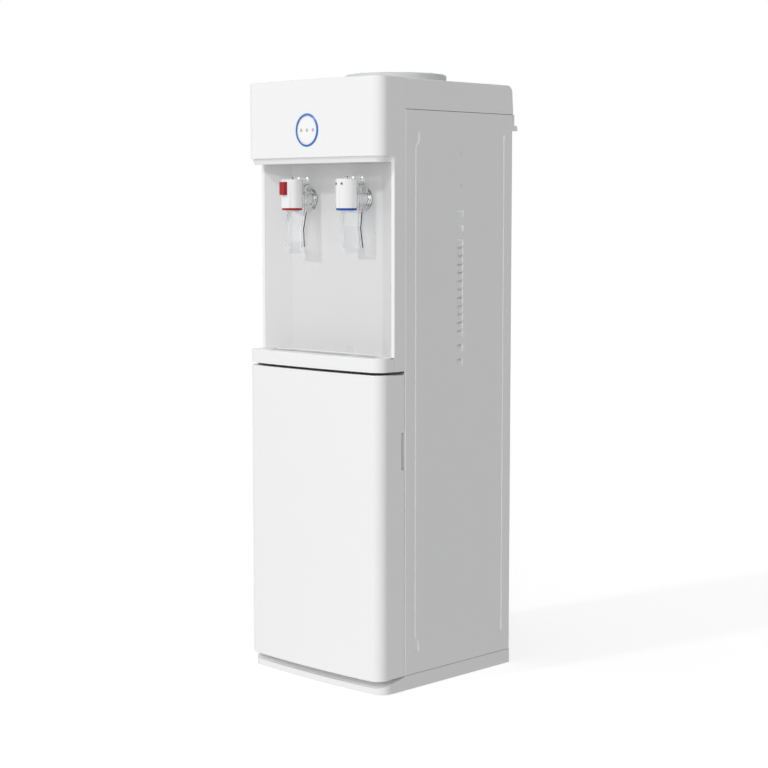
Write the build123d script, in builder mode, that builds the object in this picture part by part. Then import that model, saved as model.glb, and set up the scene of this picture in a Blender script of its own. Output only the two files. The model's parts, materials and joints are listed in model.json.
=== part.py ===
from build123d import *
import os

# Free-standing water cooler: a bottle seat on the top, two taps over a drip tray, and a storage
# compartment behind a hinged door. Millimetres, +Z up, the front faces -Y. The origin is the
# middle of the overall plan, on the floor.

os.makedirs("parts", exist_ok=True)

# ---------------------------------------------------------------- driving dimensions

# Plan of the cabinet
cabinet_width = 310.0
panel_depth = 256.7  # side panel, front edge to back edge
front_overhang = 59.0  # corners of the front faces, ahead of the side panels
front_crown = 7.0  # bow of the front faces
front_corner = 21.0  # rounding of the front's vertical corners
ring_proud = 0.8  # indicator ring, ahead of the bowed face
wall_reach = 13.5  # wall spacers, behind the side panels

# Heights, stacked from the floor up
foot_show = 1.5
apron_height = 10.3
door_lift = 12.3
door_height = 489.3
door_top_gap = 4.1
ledge_height = 22.5
niche_height = 305.5
lip_height = 9.3
fascia_height = 123.2
cover_step = 2.0  # fascia above the top cover
cover_height = 47.5
collar_rise = 18.0

# Walls and clearances
shell_wall = 2.5
base_wall = 3.0
sheet = 1.0
thin_sheet = 0.8
touch_gap = 0.3  # pieces that move past or rest on each other
slide_gap = 0.5
pin_fit = 0.06  # radial play of a pin in its bore
hole_play = 0.3  # radial play of a pipe or screw in its hole

# Base tray and feet
apron_setback = 8.0
apron_knee_run = 12.0
apron_knee_rise = 4.4
door_floor_play = 0.5
base_over_door = 0.7
base_lip = 2.3
base_corner = 4.0
foot_radius = 12.0
foot_recess = 1.5
foot_side_inset = 28.0
foot_end_inset = 24.0
foot_chamfer = 0.8

# Side panels
panel_flange = 14.0
panel_bend = 1.8
press_depth = 1.3
bead_inset = 20.5
bead_width = 4.0
hook_width = 11.5
hook_length = 16.0
hook_taper = 8.0
bead_top_drop = 34.3
bead_bottom_rise = 36.5
louvre_offset = 128.5  # middle of the louvre column, behind the panel's front edge
louvre_width = 13.8
louvre_height = 11.0
louvre_pitch = 13.48
louvre_count = 12
louvre_top_drop = 209.5
louvre_slit_height = 3.0
louvre_slit_width = 9.8
outer_louvre_gap = 23.3
side_screw_drop = 68.5
side_screw_pitch = 51.0
screw_head_radius = 3.2
screw_head_height = 1.2
screw_shank_radius = 2.0
screw_length = 6.0
dimple_radius = 3.7

# Back panel
vent_rows = 6
vent_columns = 5
vent_pitch = 12.0
vent_width = 30.0
vent_height = 4.0
vent_bottom_rise = 20.0
rear_screw_rows = 4
rear_screw_end_inset = 40.0
rear_screw_side_inset = 7.0

# Top cover
cover_round = 13.0
cover_edge_round = 2.0
cover_back_inset = 0.8
cover_seam = 0.2

# Bottle seat
seat_offset = 137.4  # middle of the bottle seat, behind the side panels' front edge
collar_radius = 84.7
collar_rim = 4.2
collar_round = 3.4
collar_mouth_slope = 4.0
bowl_radius = 77.5
bowl_depth = 36.0
bowl_floor_radius = 70.0
bowl_wall = 2.5
rib_count = 12
rib_width = 2.0
rib_height = 0.5
rib_reach = 3.0
probe_radius = 11.0
probe_flange_radius = 20.0
probe_flange_height = 3.0
probe_bore = 6.5
probe_below_rim = 4.0
probe_tip = 14.0
probe_tip_radius = 4.0
spigot_radius = 12.0
spigot_length = 21.0
probe_slot_width = 4.0
probe_slot_height = 16.0

# Front shell
lip_step = 3.4
lip_foot = 6.4
column_depth = 24.6
column_face = 7.0
top_edge_round = 2.5

# Indicator
ring_radius = 26.5
ring_stroke = 2.3
ring_depth = 4.5
lens_sink = 0.4
lens_depth = 2.6
pipe_radius = 2.2
pipe_pitch = 13.6
indicator_drop = 80.2  # its middle, below the fascia's top
board_width = 90.0
board_height = 50.0
board_thickness = 1.6
board_distance = 9.0
post_radius = 4.0
post_inset = 5.0
ring_play = 0.2

# Niche
niche_slant = 50.0  # side of the cabinet to the edge of the niche's flat back wall
niche_round = 12.0
niche_play = 0.2

# Tray shelf, tray and grille
shelf_thickness = 2.6
shelf_setback = 10.0
shelf_tail = 12.0
tray_play = 0.6
basin_side_inset = 27.0
basin_front = 46.0
basin_round = 3.0
grille_thickness = 3.0
grille_sink = 1.5
grille_ledge = 3.0
grille_slot = 3.0
grille_pitch = 6.0
grille_border = 4.0
grille_section = 124.0
tray_edge_round = 2.0

# Door
door_back_gap = 2.0
hinge_inset = 8.0
door_edge_round = 1.5
hinge_pin_radius = 3.0
hinge_pin_reach = 12.0
hinge_pin_seat = 10.0
hinge_boss_radius = 5.6
hinge_boss_play = 2.0
slot_depth = 12.0
slot_front = 8.6
slot_height = 60.0
slot_middle_rise = 365.9
inner_thickness = 2.0
gasket_width = 8.0
gasket_inset = 7.0
strike_width = 30.0
strike_height = 14.0
strike_thickness = 0.8
strike_inset = 55.0  # middle of the strike, from the door's opening side
strike_drop = 40.0
catch_width = 36.0
catch_height = 12.0

# Storage liner and partition
liner_side_inset = 17.0
liner_flange_inset = 3.0
liner_wall = 2.0
liner_floor_rise = 5.0
liner_step_rise = 195.0
liner_low_depth = 112.0
liner_deep_depth = 222.0
liner_head_room = 8.0
partition_drop = 12.0
partition_thickness = 1.5

# Cold side
tank_radius = 65.0
tank_wall = 1.0
tank_height = 175.0
tank_neck_radius = 15.0
tank_neck_height = 16.0
tank_below_cover = 14.0
evaporator_height = 90.0
evaporator_wall = 1.5
evaporator_ridge = 3.0
evaporator_ridges = 5
evaporator_ridge_height = 6.0
foam_wall = 16.0
foam_floor = 24.0
foam_corner = 20.0
frame_plate = 1.5
frame_ear_width = 50.0
frame_ear_top_drop = 53.5
frame_depth = 140.0

# Hot side
hot_tank_side = 50.0  # middle of the hot tank, right of the cabinet's middle
hot_tank_offset = 150.0
hot_tank_radius = 42.0
hot_tank_height = 120.0
heater_wall = 2.5
heater_height = 30.0
heater_rise = 25.0
hot_foam_wall = 14.0
hot_foam_floor = 14.0
thermostat_radius = 11.0
thermostat_height = 6.0
thermostat_pitch = 40.0

# Water tubes
tube_radius = 4.0
tube_bend = 12.0
tight_bend = 7.0
pipe_wall = 1.2

# Taps
tap_spacing = 127.6
tap_reach = 40.0
tap_radius = 17.8
tap_body_height = 46.4
tap_ring_height = 3.5
tap_ring_radius = 16.6
nozzle_radius = 11.0
nozzle_drop = 2.0
throat_radius = 4.5
throat_rise = 4.0
throat_height = 2.5
tap_below_niche = 25.0  # tap body's top, below the niche's top
tap_top_round = 1.2
cup_radius = 14.5
cup_depth = 5.0
chamber_radius = 6.0
chamber_height = 22.0
neck_radius = 9.4
neck_rise = 14.5
flange_radius = 19.0
flange_thickness = 4.0
flange_step = 4.0
shank_radius = 7.0
shank_length = 16.0
shank_bore = 3.0
nut_flats = 22.0
nut_thickness = 6.0
lug_inner = 8.5
lug_outer = 12.5
lug_radius = 3.5
pivot_reach = 24.5
pivot_drop = 8.5
lever_pin_radius = 1.5
lock_width = 12.0
lock_height = 21.0
lock_proud = 5.0
lock_depth = 4.0
lock_travel = 3.2
lock_drop = 4.2
lock_play = 0.3
hook_hole_radius = 1.8
hook_hole_pitch = 11.7
hook_hole_depth = 4.0

# Levers and valve stems
lever_half = 19.9
lever_rim = 1.6
lever_rim_depth = 5.8
lever_sheet = 1.4
rim_reach = 10.2  # front of the rims, behind the tap's axis
sheet_play = 0.9  # top of the sheet, below the nozzle
paddle_bottom_drop = 109.5  # below the tap body's top
ear_thickness = 3.5
arm_lift = 0.9
arm_thickness = 2.6
arm_half = 7.0
arm_tip = 45.0
hot_bend_drop = 34.0
hot_bend_reach = 8.0
hot_toe_back = 1.5
cold_bow = 3.0
cold_bow_drop = 32.0
cold_toe_back = 1.5
stem_radius = 2.5
stem_play = 0.4
plug_radius = 5.4
plug_height = 5.0

# Compressor and condenser
compressor_side = -20.0
compressor_offset = 186.0
compressor_radius = 52.0
compressor_body = 84.0
compressor_dome = 26.0
foot_plate_width = 130.0
foot_plate_depth = 112.0
foot_plate_thickness = 3.0
grommet_radius = 8.0
grommet_height = 10.0
grommet_inset = 10.0
line_radius = 3.0
line_bend = 12.0
drier_radius = 8.0
drier_length = 60.0
condenser_side_inset = 51.0
condenser_bottom_rise = 130.0
condenser_passes = 12
condenser_pitch = 45.0
condenser_tube_radius = 2.4
condenser_stand = 7.5
wire_radius = 0.8
wire_pitch = 12.0
wire_overhang = 12.0
standoff_width = 8.0
standoff_inset = 38.0

# Back fittings
spacer_width = 4.0
spacer_side_gap = 1.0
spacer_strip_reach = 5.6
spacer_strip_height = 27.0
spacer_hook_height = 9.0
switch_inset = 85.0
switch_pitch = 34.0
switch_drop = 108.0
switch_width = 20.6
switch_height = 28.0
switch_bezel = 2.4
switch_bezel_depth = 2.0
switch_inside = 18.0
switch_cut_play = 0.4
rocker_width = 15.0
rocker_height = 21.0
rocker_play = 0.5
rocker_depth = 8.0
rocker_pin_radius = 1.5
rocker_tip_rise = 2.3  # lower wing's tip, proud of the upper wing
rocker_tip_inset = 2.0
gland_inset = 35.0
gland_rise = 40.0
gland_radius = 8.0
gland_flange_radius = 12.0
gland_flange = 3.0
gland_inside = 12.0
gland_bore = 3.6
drain_inset = 25.0
drain_rise = 24.5  # above the partition
drain_radius = 7.0
drain_reach = 8.0
drain_flange_radius = 11.0
drain_flange = 2.0
drain_cap_wall = 2.0
drain_cap_radius = 10.5

# ---------------------------------------------------------------- derived places

half_width = cabinet_width / 2
overall_depth = ring_proud + front_crown + front_overhang + panel_depth + wall_reach
face_apex = -overall_depth / 2 + ring_proud
face_corner = face_apex + front_crown
panel_front = face_corner + front_overhang
panel_back = panel_front + panel_depth
rear_most = panel_back + wall_reach

apron_top = foot_show + apron_height
door_bottom = apron_top + door_lift
base_top = door_bottom + base_over_door
door_top = door_bottom + door_height
ledge_bottom = door_top + door_top_gap
ledge_top = ledge_bottom + ledge_height
niche_top = ledge_top + niche_height
fascia_bottom = niche_top + lip_height
fascia_top = fascia_bottom + fascia_height
cover_top = fascia_top - cover_step
cover_bottom = cover_top - cover_height
collar_top = cover_top + collar_rise
panel_height = cover_bottom - base_top
base_floor = foot_show + base_wall

seat_y = panel_front + seat_offset
tap_y = panel_front - tap_reach
tap_top = niche_top - tap_below_niche
tap_bottom = tap_top - tap_body_height
neck_z = tap_bottom + neck_rise
pivot_y = panel_front - pivot_reach
pivot_z = tap_top - pivot_drop
hot_x = -tap_spacing / 2
cold_x = tap_spacing / 2
door_back = panel_front - door_back_gap
hinge_x = -half_width + hinge_inset
hinge_y = door_back - hinge_inset
indicator_z = fascia_top - indicator_drop
back_face = panel_back - sheet  # front of the side panels' rear flanges, where the back panel lies
back_inner = back_face - thin_sheet
column_front = panel_front - column_depth
niche_half = half_width - column_face
wall_half = half_width - niche_slant
basin_half = half_width - basin_side_inset
liner_half = half_width - liner_side_inset
liner_flange_half = half_width - liner_flange_inset
strike_side = half_width - strike_inset
partition_top = ledge_bottom - partition_drop
partition_bottom = partition_top - partition_thickness
tank_top = cover_bottom - tank_below_cover
tank_bottom = tank_top - tank_height
foam_inner = tank_radius + evaporator_wall + evaporator_ridge + touch_gap
foam_half = foam_inner + foam_wall
foam_bottom = tank_bottom - foam_floor
frame_half = half_width - sheet - press_depth
partition_half = frame_half - touch_gap
screw_upper = cover_bottom - side_screw_drop
screw_y = panel_front + louvre_offset
hot_tank_x = hot_tank_side
hot_tank_y = panel_front + hot_tank_offset
hot_tank_bottom = partition_top + hot_foam_floor
hot_tank_top = hot_tank_bottom + hot_tank_height
compressor_x = compressor_side
compressor_y = panel_front + compressor_offset
shell_bottom = base_floor + grommet_height + foot_plate_thickness
shell_top = shell_bottom + compressor_body + compressor_dome
condenser_y = panel_back + condenser_stand
condenser_half = half_width - condenser_side_inset
standoff_side = condenser_half - standoff_inset
wire_count = 2 * int((condenser_half - wire_radius) / wire_pitch) + 1
condenser_low = base_top + condenser_bottom_rise
condenser_high = condenser_low + (condenser_passes - 1) * condenser_pitch
switch_side = -half_width + switch_inset
switch_z = cover_bottom - switch_drop
gland_side = -half_width + gland_inset
gland_z = base_top + gland_rise
drain_side = half_width - drain_inset
drain_z = partition_top + drain_rise


def facing_front(depth):
    """Upright plane at y = depth: extrusions from it run forwards."""
    return Plane.XZ.offset(-depth)


def level(height):
    """Level plane at z = height."""
    return Plane.XY.offset(height)


def bowed_outline(side, corner_y, back, corner):
    """Plan with a bowed front between two rounded corners, straight back to y = back."""
    with BuildSketch() as outline:
        with BuildLine():
            ThreePointArc((-side, corner_y), (0, corner_y - front_crown), (side, corner_y))
            Polyline((side, corner_y), (side, back), (-side, back), (-side, corner_y))
        make_face()
        fillet(outline.vertices().group_by(Axis.Y)[0], corner)
    return outline.sketch


def front_outline(inset, back):
    """Plan of the front zone, set in by inset from the bowed face and both sides."""
    return bowed_outline(half_width - inset, face_corner + inset, back, front_corner - inset)


def niche_plan(inset, front):
    """Plan of the space between the niche walls, from y = front back to the flat wall."""
    with BuildSketch() as plan:
        with BuildLine():
            Polyline(
                (niche_half, front),
                (niche_half, column_front),
                (wall_half, panel_front),
                (-wall_half, panel_front),
                (-niche_half, column_front),
                (-niche_half, front),
                close=True,
            )
        make_face()
        offset(amount=-inset, kind=Kind.INTERSECTION)
    return plan.sketch


def pipe(points, radii, outer, inner):
    """Tube along straight runs joined by tangent arcs; inner 0 makes it solid."""
    with BuildPart() as tube:
        with BuildLine() as route:
            FilletPolyline(*points, radius=radii)
        start = Plane(route.line @ 0, z_dir=route.line % 0)
        with BuildSketch(start):
            Circle(outer)
            if inner > 0:
                Circle(inner, mode=Mode.SUBTRACT)
        sweep(path=route.wires()[0])
    return tube.part


def level_rod(x, z, front, back, radius):
    """Round rod along Y, from y = front to y = back."""
    with BuildPart() as rod:
        with BuildSketch(facing_front(back)):
            with Locations((x, z)):
                Circle(radius)
        extrude(amount=back - front)
    return rod.part


# ---------------------------------------------------------------- base and feet

foot_front = face_corner + apron_setback + foot_end_inset
foot_back = panel_back - foot_end_inset
foot_places = [
    (side * (half_width - foot_side_inset), y) for side in (-1, 1) for y in (foot_front, foot_back)
]

with BuildPart() as base_tray:
    apron_front = face_corner + apron_setback
    with BuildSketch(level(foot_show)):
        add(bowed_outline(half_width, apron_front, panel_back + base_lip, front_corner))
    extrude(amount=base_top - foot_show)
    fillet(base_tray.edges().filter_by(Axis.Z).group_by(Axis.Y)[-1], base_corner)
    # The apron slopes up to the side panels and stays under the door's swing
    with BuildSketch(Plane.YZ):
        with BuildLine():
            Polyline(
                (face_apex, apron_top),
                (apron_front, apron_top),
                (apron_front + apron_knee_run, apron_top + apron_knee_rise),
                (panel_front, door_bottom - door_floor_play),
                (panel_front, base_top + base_wall),
                (face_apex, base_top + base_wall),
                close=True,
            )
        make_face()
    extrude(amount=half_width, both=True, mode=Mode.SUBTRACT)
    # Open machine tray
    with BuildSketch(level(base_floor)):
        with Locations((0, (panel_front + panel_back + base_lip) / 2)):
            Rectangle(cabinet_width - 2 * base_wall, panel_depth + base_lip - 2 * base_wall)
    extrude(amount=base_top, mode=Mode.SUBTRACT)
    with BuildSketch(level(foot_show)):
        with Locations(*foot_places):
            Circle(foot_radius + hole_play)
    extrude(amount=foot_recess, mode=Mode.SUBTRACT)
    # Seat of the lower hinge pin
    with BuildSketch(level(door_bottom - hinge_pin_seat)):
        with Locations((hinge_x, hinge_y)):
            Circle(hinge_pin_radius + pin_fit)
    extrude(amount=hinge_pin_seat, mode=Mode.SUBTRACT)

with BuildPart() as feet:
    with BuildSketch():
        with Locations(*foot_places):
            Circle(foot_radius)
    extrude(amount=foot_show + foot_recess)
    chamfer(feet.faces().sort_by(Axis.Z)[0:4].edges(), foot_chamfer)

# ---------------------------------------------------------------- steel skin


def bead_outline(grow):
    """Front groove of a side panel: a slim line with a wider hook at each end."""
    outer = bead_inset - grow
    slim = bead_inset + bead_width + grow
    wide = bead_inset + hook_width + grow
    top = panel_height - bead_top_drop + grow
    bottom = bead_bottom_rise - grow
    with BuildSketch() as bead:
        with BuildLine():
            Polyline(
                (outer, bottom),
                (outer, top),
                (wide, top),
                (wide, top - hook_length),
                (slim, top - hook_length - hook_taper),
                (slim, bottom + hook_length + hook_taper),
                (wide, bottom + hook_length),
                (wide, bottom),
                close=True,
            )
        make_face()
    return bead.sketch


def press_shapes(grow):
    """All pressed shapes of a side panel, measured from its front lower corner."""
    louvre_top = panel_height - louvre_top_drop
    louvre_bottom = louvre_top - (louvre_count - 1) * louvre_pitch
    rows = [louvre_top - i * louvre_pitch for i in range(louvre_count)]
    rows += [louvre_top + i * outer_louvre_gap for i in (1, 2)]
    rows += [louvre_bottom - i * outer_louvre_gap for i in (1, 2)]
    with BuildSketch() as shapes:
        add(bead_outline(grow))
        with Locations(Location((panel_depth, 0), (0, 180, 0))):
            add(bead_outline(grow))
        with Locations(*[(louvre_offset, row) for row in rows]):
            Rectangle(louvre_width + 2 * grow, louvre_height + 2 * grow)
        for drop in (side_screw_drop, side_screw_drop + side_screw_pitch):
            with Locations((louvre_offset, panel_height - drop)):
                Circle(dimple_radius + grow)
    return shapes.sketch, rows


with BuildPart() as right_side_panel:
    with BuildSketch(level(base_top)) as folded:
        with Locations((half_width - panel_flange / 2, (panel_front + panel_back) / 2)):
            Rectangle(panel_flange, panel_depth)
        fillet(folded.vertices().group_by(Axis.X)[-1], panel_bend)
        with Locations((half_width - sheet - panel_flange / 2, (panel_front + panel_back) / 2)):
            Rectangle(panel_flange, panel_depth - 2 * sheet, mode=Mode.SUBTRACT)
    extrude(amount=panel_height)
    corner = (half_width, panel_front, base_top)
    outer_face = Plane(corner, x_dir=(0, 1, 0), z_dir=(1, 0, 0))
    pressed, louvre_rows = press_shapes(0)
    backed, _ = press_shapes(sheet)
    with BuildSketch(outer_face.offset(-sheet)):
        add(backed)
    extrude(amount=-press_depth)
    with BuildSketch(outer_face):
        add(pressed)
    extrude(amount=-press_depth, mode=Mode.SUBTRACT)
    slit_rise = (louvre_height - louvre_slit_height) / 2
    with BuildSketch(outer_face):
        with Locations(*[(louvre_offset, row + slit_rise) for row in louvre_rows]):
            Rectangle(louvre_slit_width, louvre_slit_height)
        for drop in (side_screw_drop, side_screw_drop + side_screw_pitch):
            with Locations((louvre_offset, panel_height - drop)):
                Circle(screw_shank_radius + hole_play)
    extrude(amount=-press_depth - 2 * sheet, mode=Mode.SUBTRACT)

with BuildPart() as left_side_panel:
    mirror(right_side_panel.part, about=Plane.YZ)

back_half = half_width - sheet - touch_gap
rear_flange_screws = [
    (side * (half_width - rear_screw_side_inset), base_top + rear_screw_end_inset + i * step)
    for side in (-1, 1)
    for step in [(panel_height - 2 * rear_screw_end_inset) / (rear_screw_rows - 1)]
    for i in range(rear_screw_rows)
]
standoffs = [
    (side * standoff_side, condenser_low + i * condenser_pitch)
    for side in (-1, 1)
    for i in (1, condenser_passes // 2, condenser_passes - 2)
]
switch_places = [(switch_side + side * switch_pitch / 2, switch_z) for side in (-1, 1)]
condenser_ends = [
    (condenser_half - condenser_pitch / 2, condenser_low),
    (condenser_half - condenser_pitch / 2, condenser_high),
]

for panel in (right_side_panel, left_side_panel):
    side = 1 if panel is right_side_panel else -1
    with panel:
        with BuildSketch(facing_front(panel_back)):
            with Locations(*[place for place in rear_flange_screws if place[0] * side > 0]):
                Circle(screw_shank_radius + hole_play)
        extrude(amount=sheet, mode=Mode.SUBTRACT)

with BuildPart() as back_panel:
    with BuildSketch(facing_front(back_face)):
        with Locations((0, base_top + panel_height / 2)):
            Rectangle(2 * back_half, panel_height - 2 * touch_gap)
        with Locations(*rear_flange_screws):
            Circle(screw_shank_radius + hole_play, mode=Mode.SUBTRACT)
        with Locations(*switch_places):
            Rectangle(
                switch_width + switch_cut_play, switch_height + switch_cut_play, mode=Mode.SUBTRACT
            )
        with Locations((gland_side, gland_z)):
            Circle(gland_radius + hole_play, mode=Mode.SUBTRACT)
        with Locations((drain_side, drain_z)):
            Circle(drain_radius + hole_play, mode=Mode.SUBTRACT)
        with Locations(*condenser_ends):
            Circle(condenser_tube_radius + hole_play, mode=Mode.SUBTRACT)
        vent_middle = base_top + vent_bottom_rise + (vent_rows - 1) * vent_pitch / 2
        with Locations((0, vent_middle)):
            with GridLocations(vent_width + vent_pitch, vent_pitch, vent_columns, vent_rows):
                SlotOverall(vent_width, vent_height, mode=Mode.SUBTRACT)
    extrude(amount=thin_sheet)
    # Pressed standoffs that hold the condenser
    with BuildSketch(facing_front(condenser_y - condenser_tube_radius)):
        with Locations(*standoffs):
            Rectangle(standoff_width, standoff_width)
    extrude(amount=condenser_y - condenser_tube_radius - back_face)

# ---------------------------------------------------------------- top cover


def cover_profile(inset, drop):
    """Side view of the top cover: flat top, rounded back corner, back flaring downwards."""
    with BuildSketch() as profile:
        with BuildLine():
            Polyline(
                (panel_front + cover_seam + inset, cover_bottom - drop),
                (panel_front + cover_seam + inset, cover_top - inset),
                (panel_back - cover_back_inset - inset, cover_top - inset),
                (panel_back + base_lip - inset, cover_bottom - drop),
                close=True,
            )
        make_face()
        fillet(profile.vertices().sort_by(lambda v: v.X + v.Y)[-1], cover_round - inset)
    return profile.sketch


with BuildPart() as top_cover:
    with BuildSketch(Plane.YZ):
        add(cover_profile(0, 0))
    extrude(amount=half_width, both=True)
    cover_rim = top_cover.edges().filter_by(
        lambda e: abs(abs(e.center().X) - half_width) < pin_fit
        and e.center().Z > cover_bottom + cover_seam
        and e.center().Y > panel_front + cover_seam + pin_fit
    )
    fillet(cover_rim, cover_edge_round)
    with BuildSketch(Plane.YZ):
        add(cover_profile(shell_wall, shell_wall))
    extrude(amount=half_width - shell_wall, both=True, mode=Mode.SUBTRACT)
    with BuildSketch(level(cover_top)):
        with Locations((0, seat_y)):
            Circle(bowl_radius + slide_gap)
    extrude(amount=-shell_wall, mode=Mode.SUBTRACT)

# ---------------------------------------------------------------- front shell and indicator

with BuildPart() as front_shell:
    with BuildSketch(level(fascia_bottom)):
        add(front_outline(0, panel_front))
    extrude(amount=fascia_height)
    top_rim = front_shell.faces().sort_by(Axis.Z)[-1].edges().sort_by(Axis.Y)[:-1]
    fillet(top_rim, top_edge_round)
    # Drafted lip below the bowed face: it closes the niche from above
    with BuildSketch(level(fascia_bottom)):
        add(front_outline(lip_step, panel_front))
    with BuildSketch(level(niche_top)):
        add(front_outline(lip_foot, panel_front))
    loft(ruled=True)
    # Hollow, open at the back
    open_back = panel_front + shell_wall
    with BuildSketch(level(niche_top + shell_wall)):
        add(front_outline(lip_foot + shell_wall, open_back))
    extrude(amount=lip_height, mode=Mode.SUBTRACT)
    with BuildSketch(level(fascia_bottom + shell_wall)):
        add(front_outline(shell_wall, open_back))
    extrude(amount=fascia_height - 2 * shell_wall, mode=Mode.SUBTRACT)
    # Columns beside the niche
    with BuildSketch(level(ledge_bottom)):
        with BuildLine():
            Polyline(
                (half_width, panel_front),
                (half_width, column_front),
                (niche_half, column_front),
                (niche_half, column_front + shell_wall),
                (half_width - shell_wall, column_front + shell_wall),
                (half_width - shell_wall, panel_front),
                close=True,
            )
        make_face()
        mirror(about=Plane.YZ)
    extrude(amount=fascia_bottom - ledge_bottom)
    # Indicator opening and the posts of the control board
    add(
        level_rod(0, indicator_z, face_apex - shell_wall, face_apex + 2 * shell_wall, ring_radius),
        mode=Mode.SUBTRACT,
    )
    board_front = face_apex + board_distance
    post_x = board_width / 2 - post_inset
    post_z = board_height / 2 - post_inset
    with BuildSketch(facing_front(board_front)):
        with Locations((0, indicator_z)):
            with GridLocations(2 * post_x, 2 * post_z, 2, 2):
                Circle(post_radius)
    extrude(amount=board_distance - shell_wall)

with BuildPart() as indicator_ring:
    ring_front = face_apex - ring_proud
    ring_outer = ring_radius - ring_play
    add(level_rod(0, indicator_z, ring_front, ring_front + ring_depth, ring_outer))
    chamfer(indicator_ring.faces().sort_by(Axis.Y)[0].edges(), ring_proud / 2)
    add(
        level_rod(0, indicator_z, ring_front, ring_front + ring_depth, ring_radius - ring_stroke),
        mode=Mode.SUBTRACT,
    )

with BuildPart() as indicator_lens:
    lens_front = face_apex + lens_sink
    lens_radius = ring_radius - ring_stroke - ring_play
    add(level_rod(0, indicator_z, lens_front, lens_front + lens_depth, lens_radius))
    with BuildSketch(facing_front(lens_front + lens_depth)):
        with Locations((0, indicator_z)):
            with GridLocations(pipe_pitch, 1, 3, 1):
                Circle(pipe_radius + pin_fit)
    extrude(amount=lens_depth, mode=Mode.SUBTRACT)

with BuildPart() as light_pipes:
    with BuildSketch(facing_front(board_front)):
        with Locations((0, indicator_z)):
            with GridLocations(pipe_pitch, 1, 3, 1):
                Circle(pipe_radius)
    extrude(amount=board_front - lens_front)

with BuildPart() as control_board:
    with BuildSketch(facing_front(board_front + board_thickness)):
        with Locations((0, indicator_z)):
            Rectangle(board_width, board_height)
    extrude(amount=board_thickness)
    component_rise = 6.0
    with BuildSketch(facing_front(board_front + board_thickness + component_rise)):
        with Locations((0, indicator_z)):
            Rectangle(board_width / 3, board_height / 3)
        with Locations((post_x - post_radius, indicator_z)):
            Rectangle(post_radius * 2, board_height / 2)
    extrude(amount=component_rise)

# ---------------------------------------------------------------- niche insert and tray shelf

with BuildPart() as niche_insert:
    edge_x = niche_half - niche_play
    edge_y = column_front + niche_play
    with BuildSketch(level(ledge_bottom)) as insert_plan:
        with BuildLine():
            Polyline(
                (-edge_x, edge_y),
                (-wall_half, panel_front),
                (wall_half, panel_front),
                (edge_x, edge_y),
                (edge_x, edge_y + shell_wall),
                (wall_half + shell_wall / 3, panel_front + shell_wall),
                (-wall_half - shell_wall / 3, panel_front + shell_wall),
                (-edge_x, edge_y + shell_wall),
                close=True,
            )
        make_face()
        bends = insert_plan.vertices().filter_by(lambda v: abs(v.X) < wall_half + shell_wall)
        fillet(bends, niche_round)
    extrude(amount=niche_top - ledge_bottom)
    with BuildSketch(facing_front(panel_front + shell_wall)):
        with Locations((hot_x, neck_z), (cold_x, neck_z)):
            Circle(shank_radius + hole_play)
    extrude(amount=shell_wall, mode=Mode.SUBTRACT)

with BuildPart() as tray_shelf:
    shelf_bottom = ledge_bottom - shelf_thickness
    shelf_side = shell_wall + touch_gap
    with BuildSketch(level(shelf_bottom)):
        side = half_width - shelf_side
        add(bowed_outline(side, face_corner + shelf_setback, panel_front, front_corner))
        with Locations((0, panel_front + shelf_tail / 2)):
            tail_half = half_width - panel_flange - touch_gap
            Rectangle(2 * tail_half, shelf_tail)
    extrude(amount=shelf_thickness)
    with BuildSketch(level(partition_top)):
        with Locations((0, panel_front + shelf_tail - shell_wall / 2)):
            Rectangle(2 * tail_half, shell_wall)
    extrude(amount=shelf_bottom - partition_top)
    with BuildSketch(level(ledge_bottom)):
        with Locations((hinge_x, hinge_y)):
            Circle(hinge_pin_radius + pin_fit)
    extrude(amount=-shelf_thickness, mode=Mode.SUBTRACT)

# ---------------------------------------------------------------- drip tray and grille

tray_bottom = ledge_bottom + touch_gap
grille_top = ledge_top - grille_sink
grille_bottom = grille_top - grille_thickness


def basin_plan(inset):
    """Plan of the basin: straight front, rear corners cut along the niche's slanted walls."""
    with BuildSketch() as plan:
        add(niche_plan(tray_play + shell_wall + inset, face_corner))
        front = panel_front - basin_front + inset
        half = basin_half - inset
        with Locations((0, (front + panel_front) / 2)):
            Rectangle(2 * half, panel_front - front, mode=Mode.INTERSECT)
        fillet(plan.vertices().group_by(Axis.Y)[0], basin_round)
    return plan.sketch


with BuildPart() as drip_tray:
    with BuildSketch(level(tray_bottom)):
        add(front_outline(0, column_front - tray_play))
        add(niche_plan(tray_play, column_front - shell_wall))
    extrude(amount=ledge_top - tray_bottom)
    bow_rim = drip_tray.faces().sort_by(Axis.Z)[-1].edges().filter_by(
        lambda e: e.center().Y < column_front - 2 * tray_play
    )
    fillet(bow_rim, tray_edge_round)
    with BuildSketch(level(grille_bottom)):
        add(basin_plan(0))
    extrude(amount=ledge_top - grille_bottom, mode=Mode.SUBTRACT)
    with BuildSketch(level(tray_bottom + shell_wall)):
        add(basin_plan(grille_ledge))
    extrude(amount=grille_bottom - tray_bottom, mode=Mode.SUBTRACT)
    # The front of the tray is hollow from below
    basin_wall = basin_front + shell_wall
    with BuildSketch(level(tray_bottom)):
        add(front_outline(shell_wall, panel_front))
        with Locations((0, panel_front - basin_wall / 2)):
            Rectangle(cabinet_width, basin_wall, mode=Mode.SUBTRACT)
    extrude(amount=ledge_top - tray_bottom - shell_wall, mode=Mode.SUBTRACT)

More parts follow.
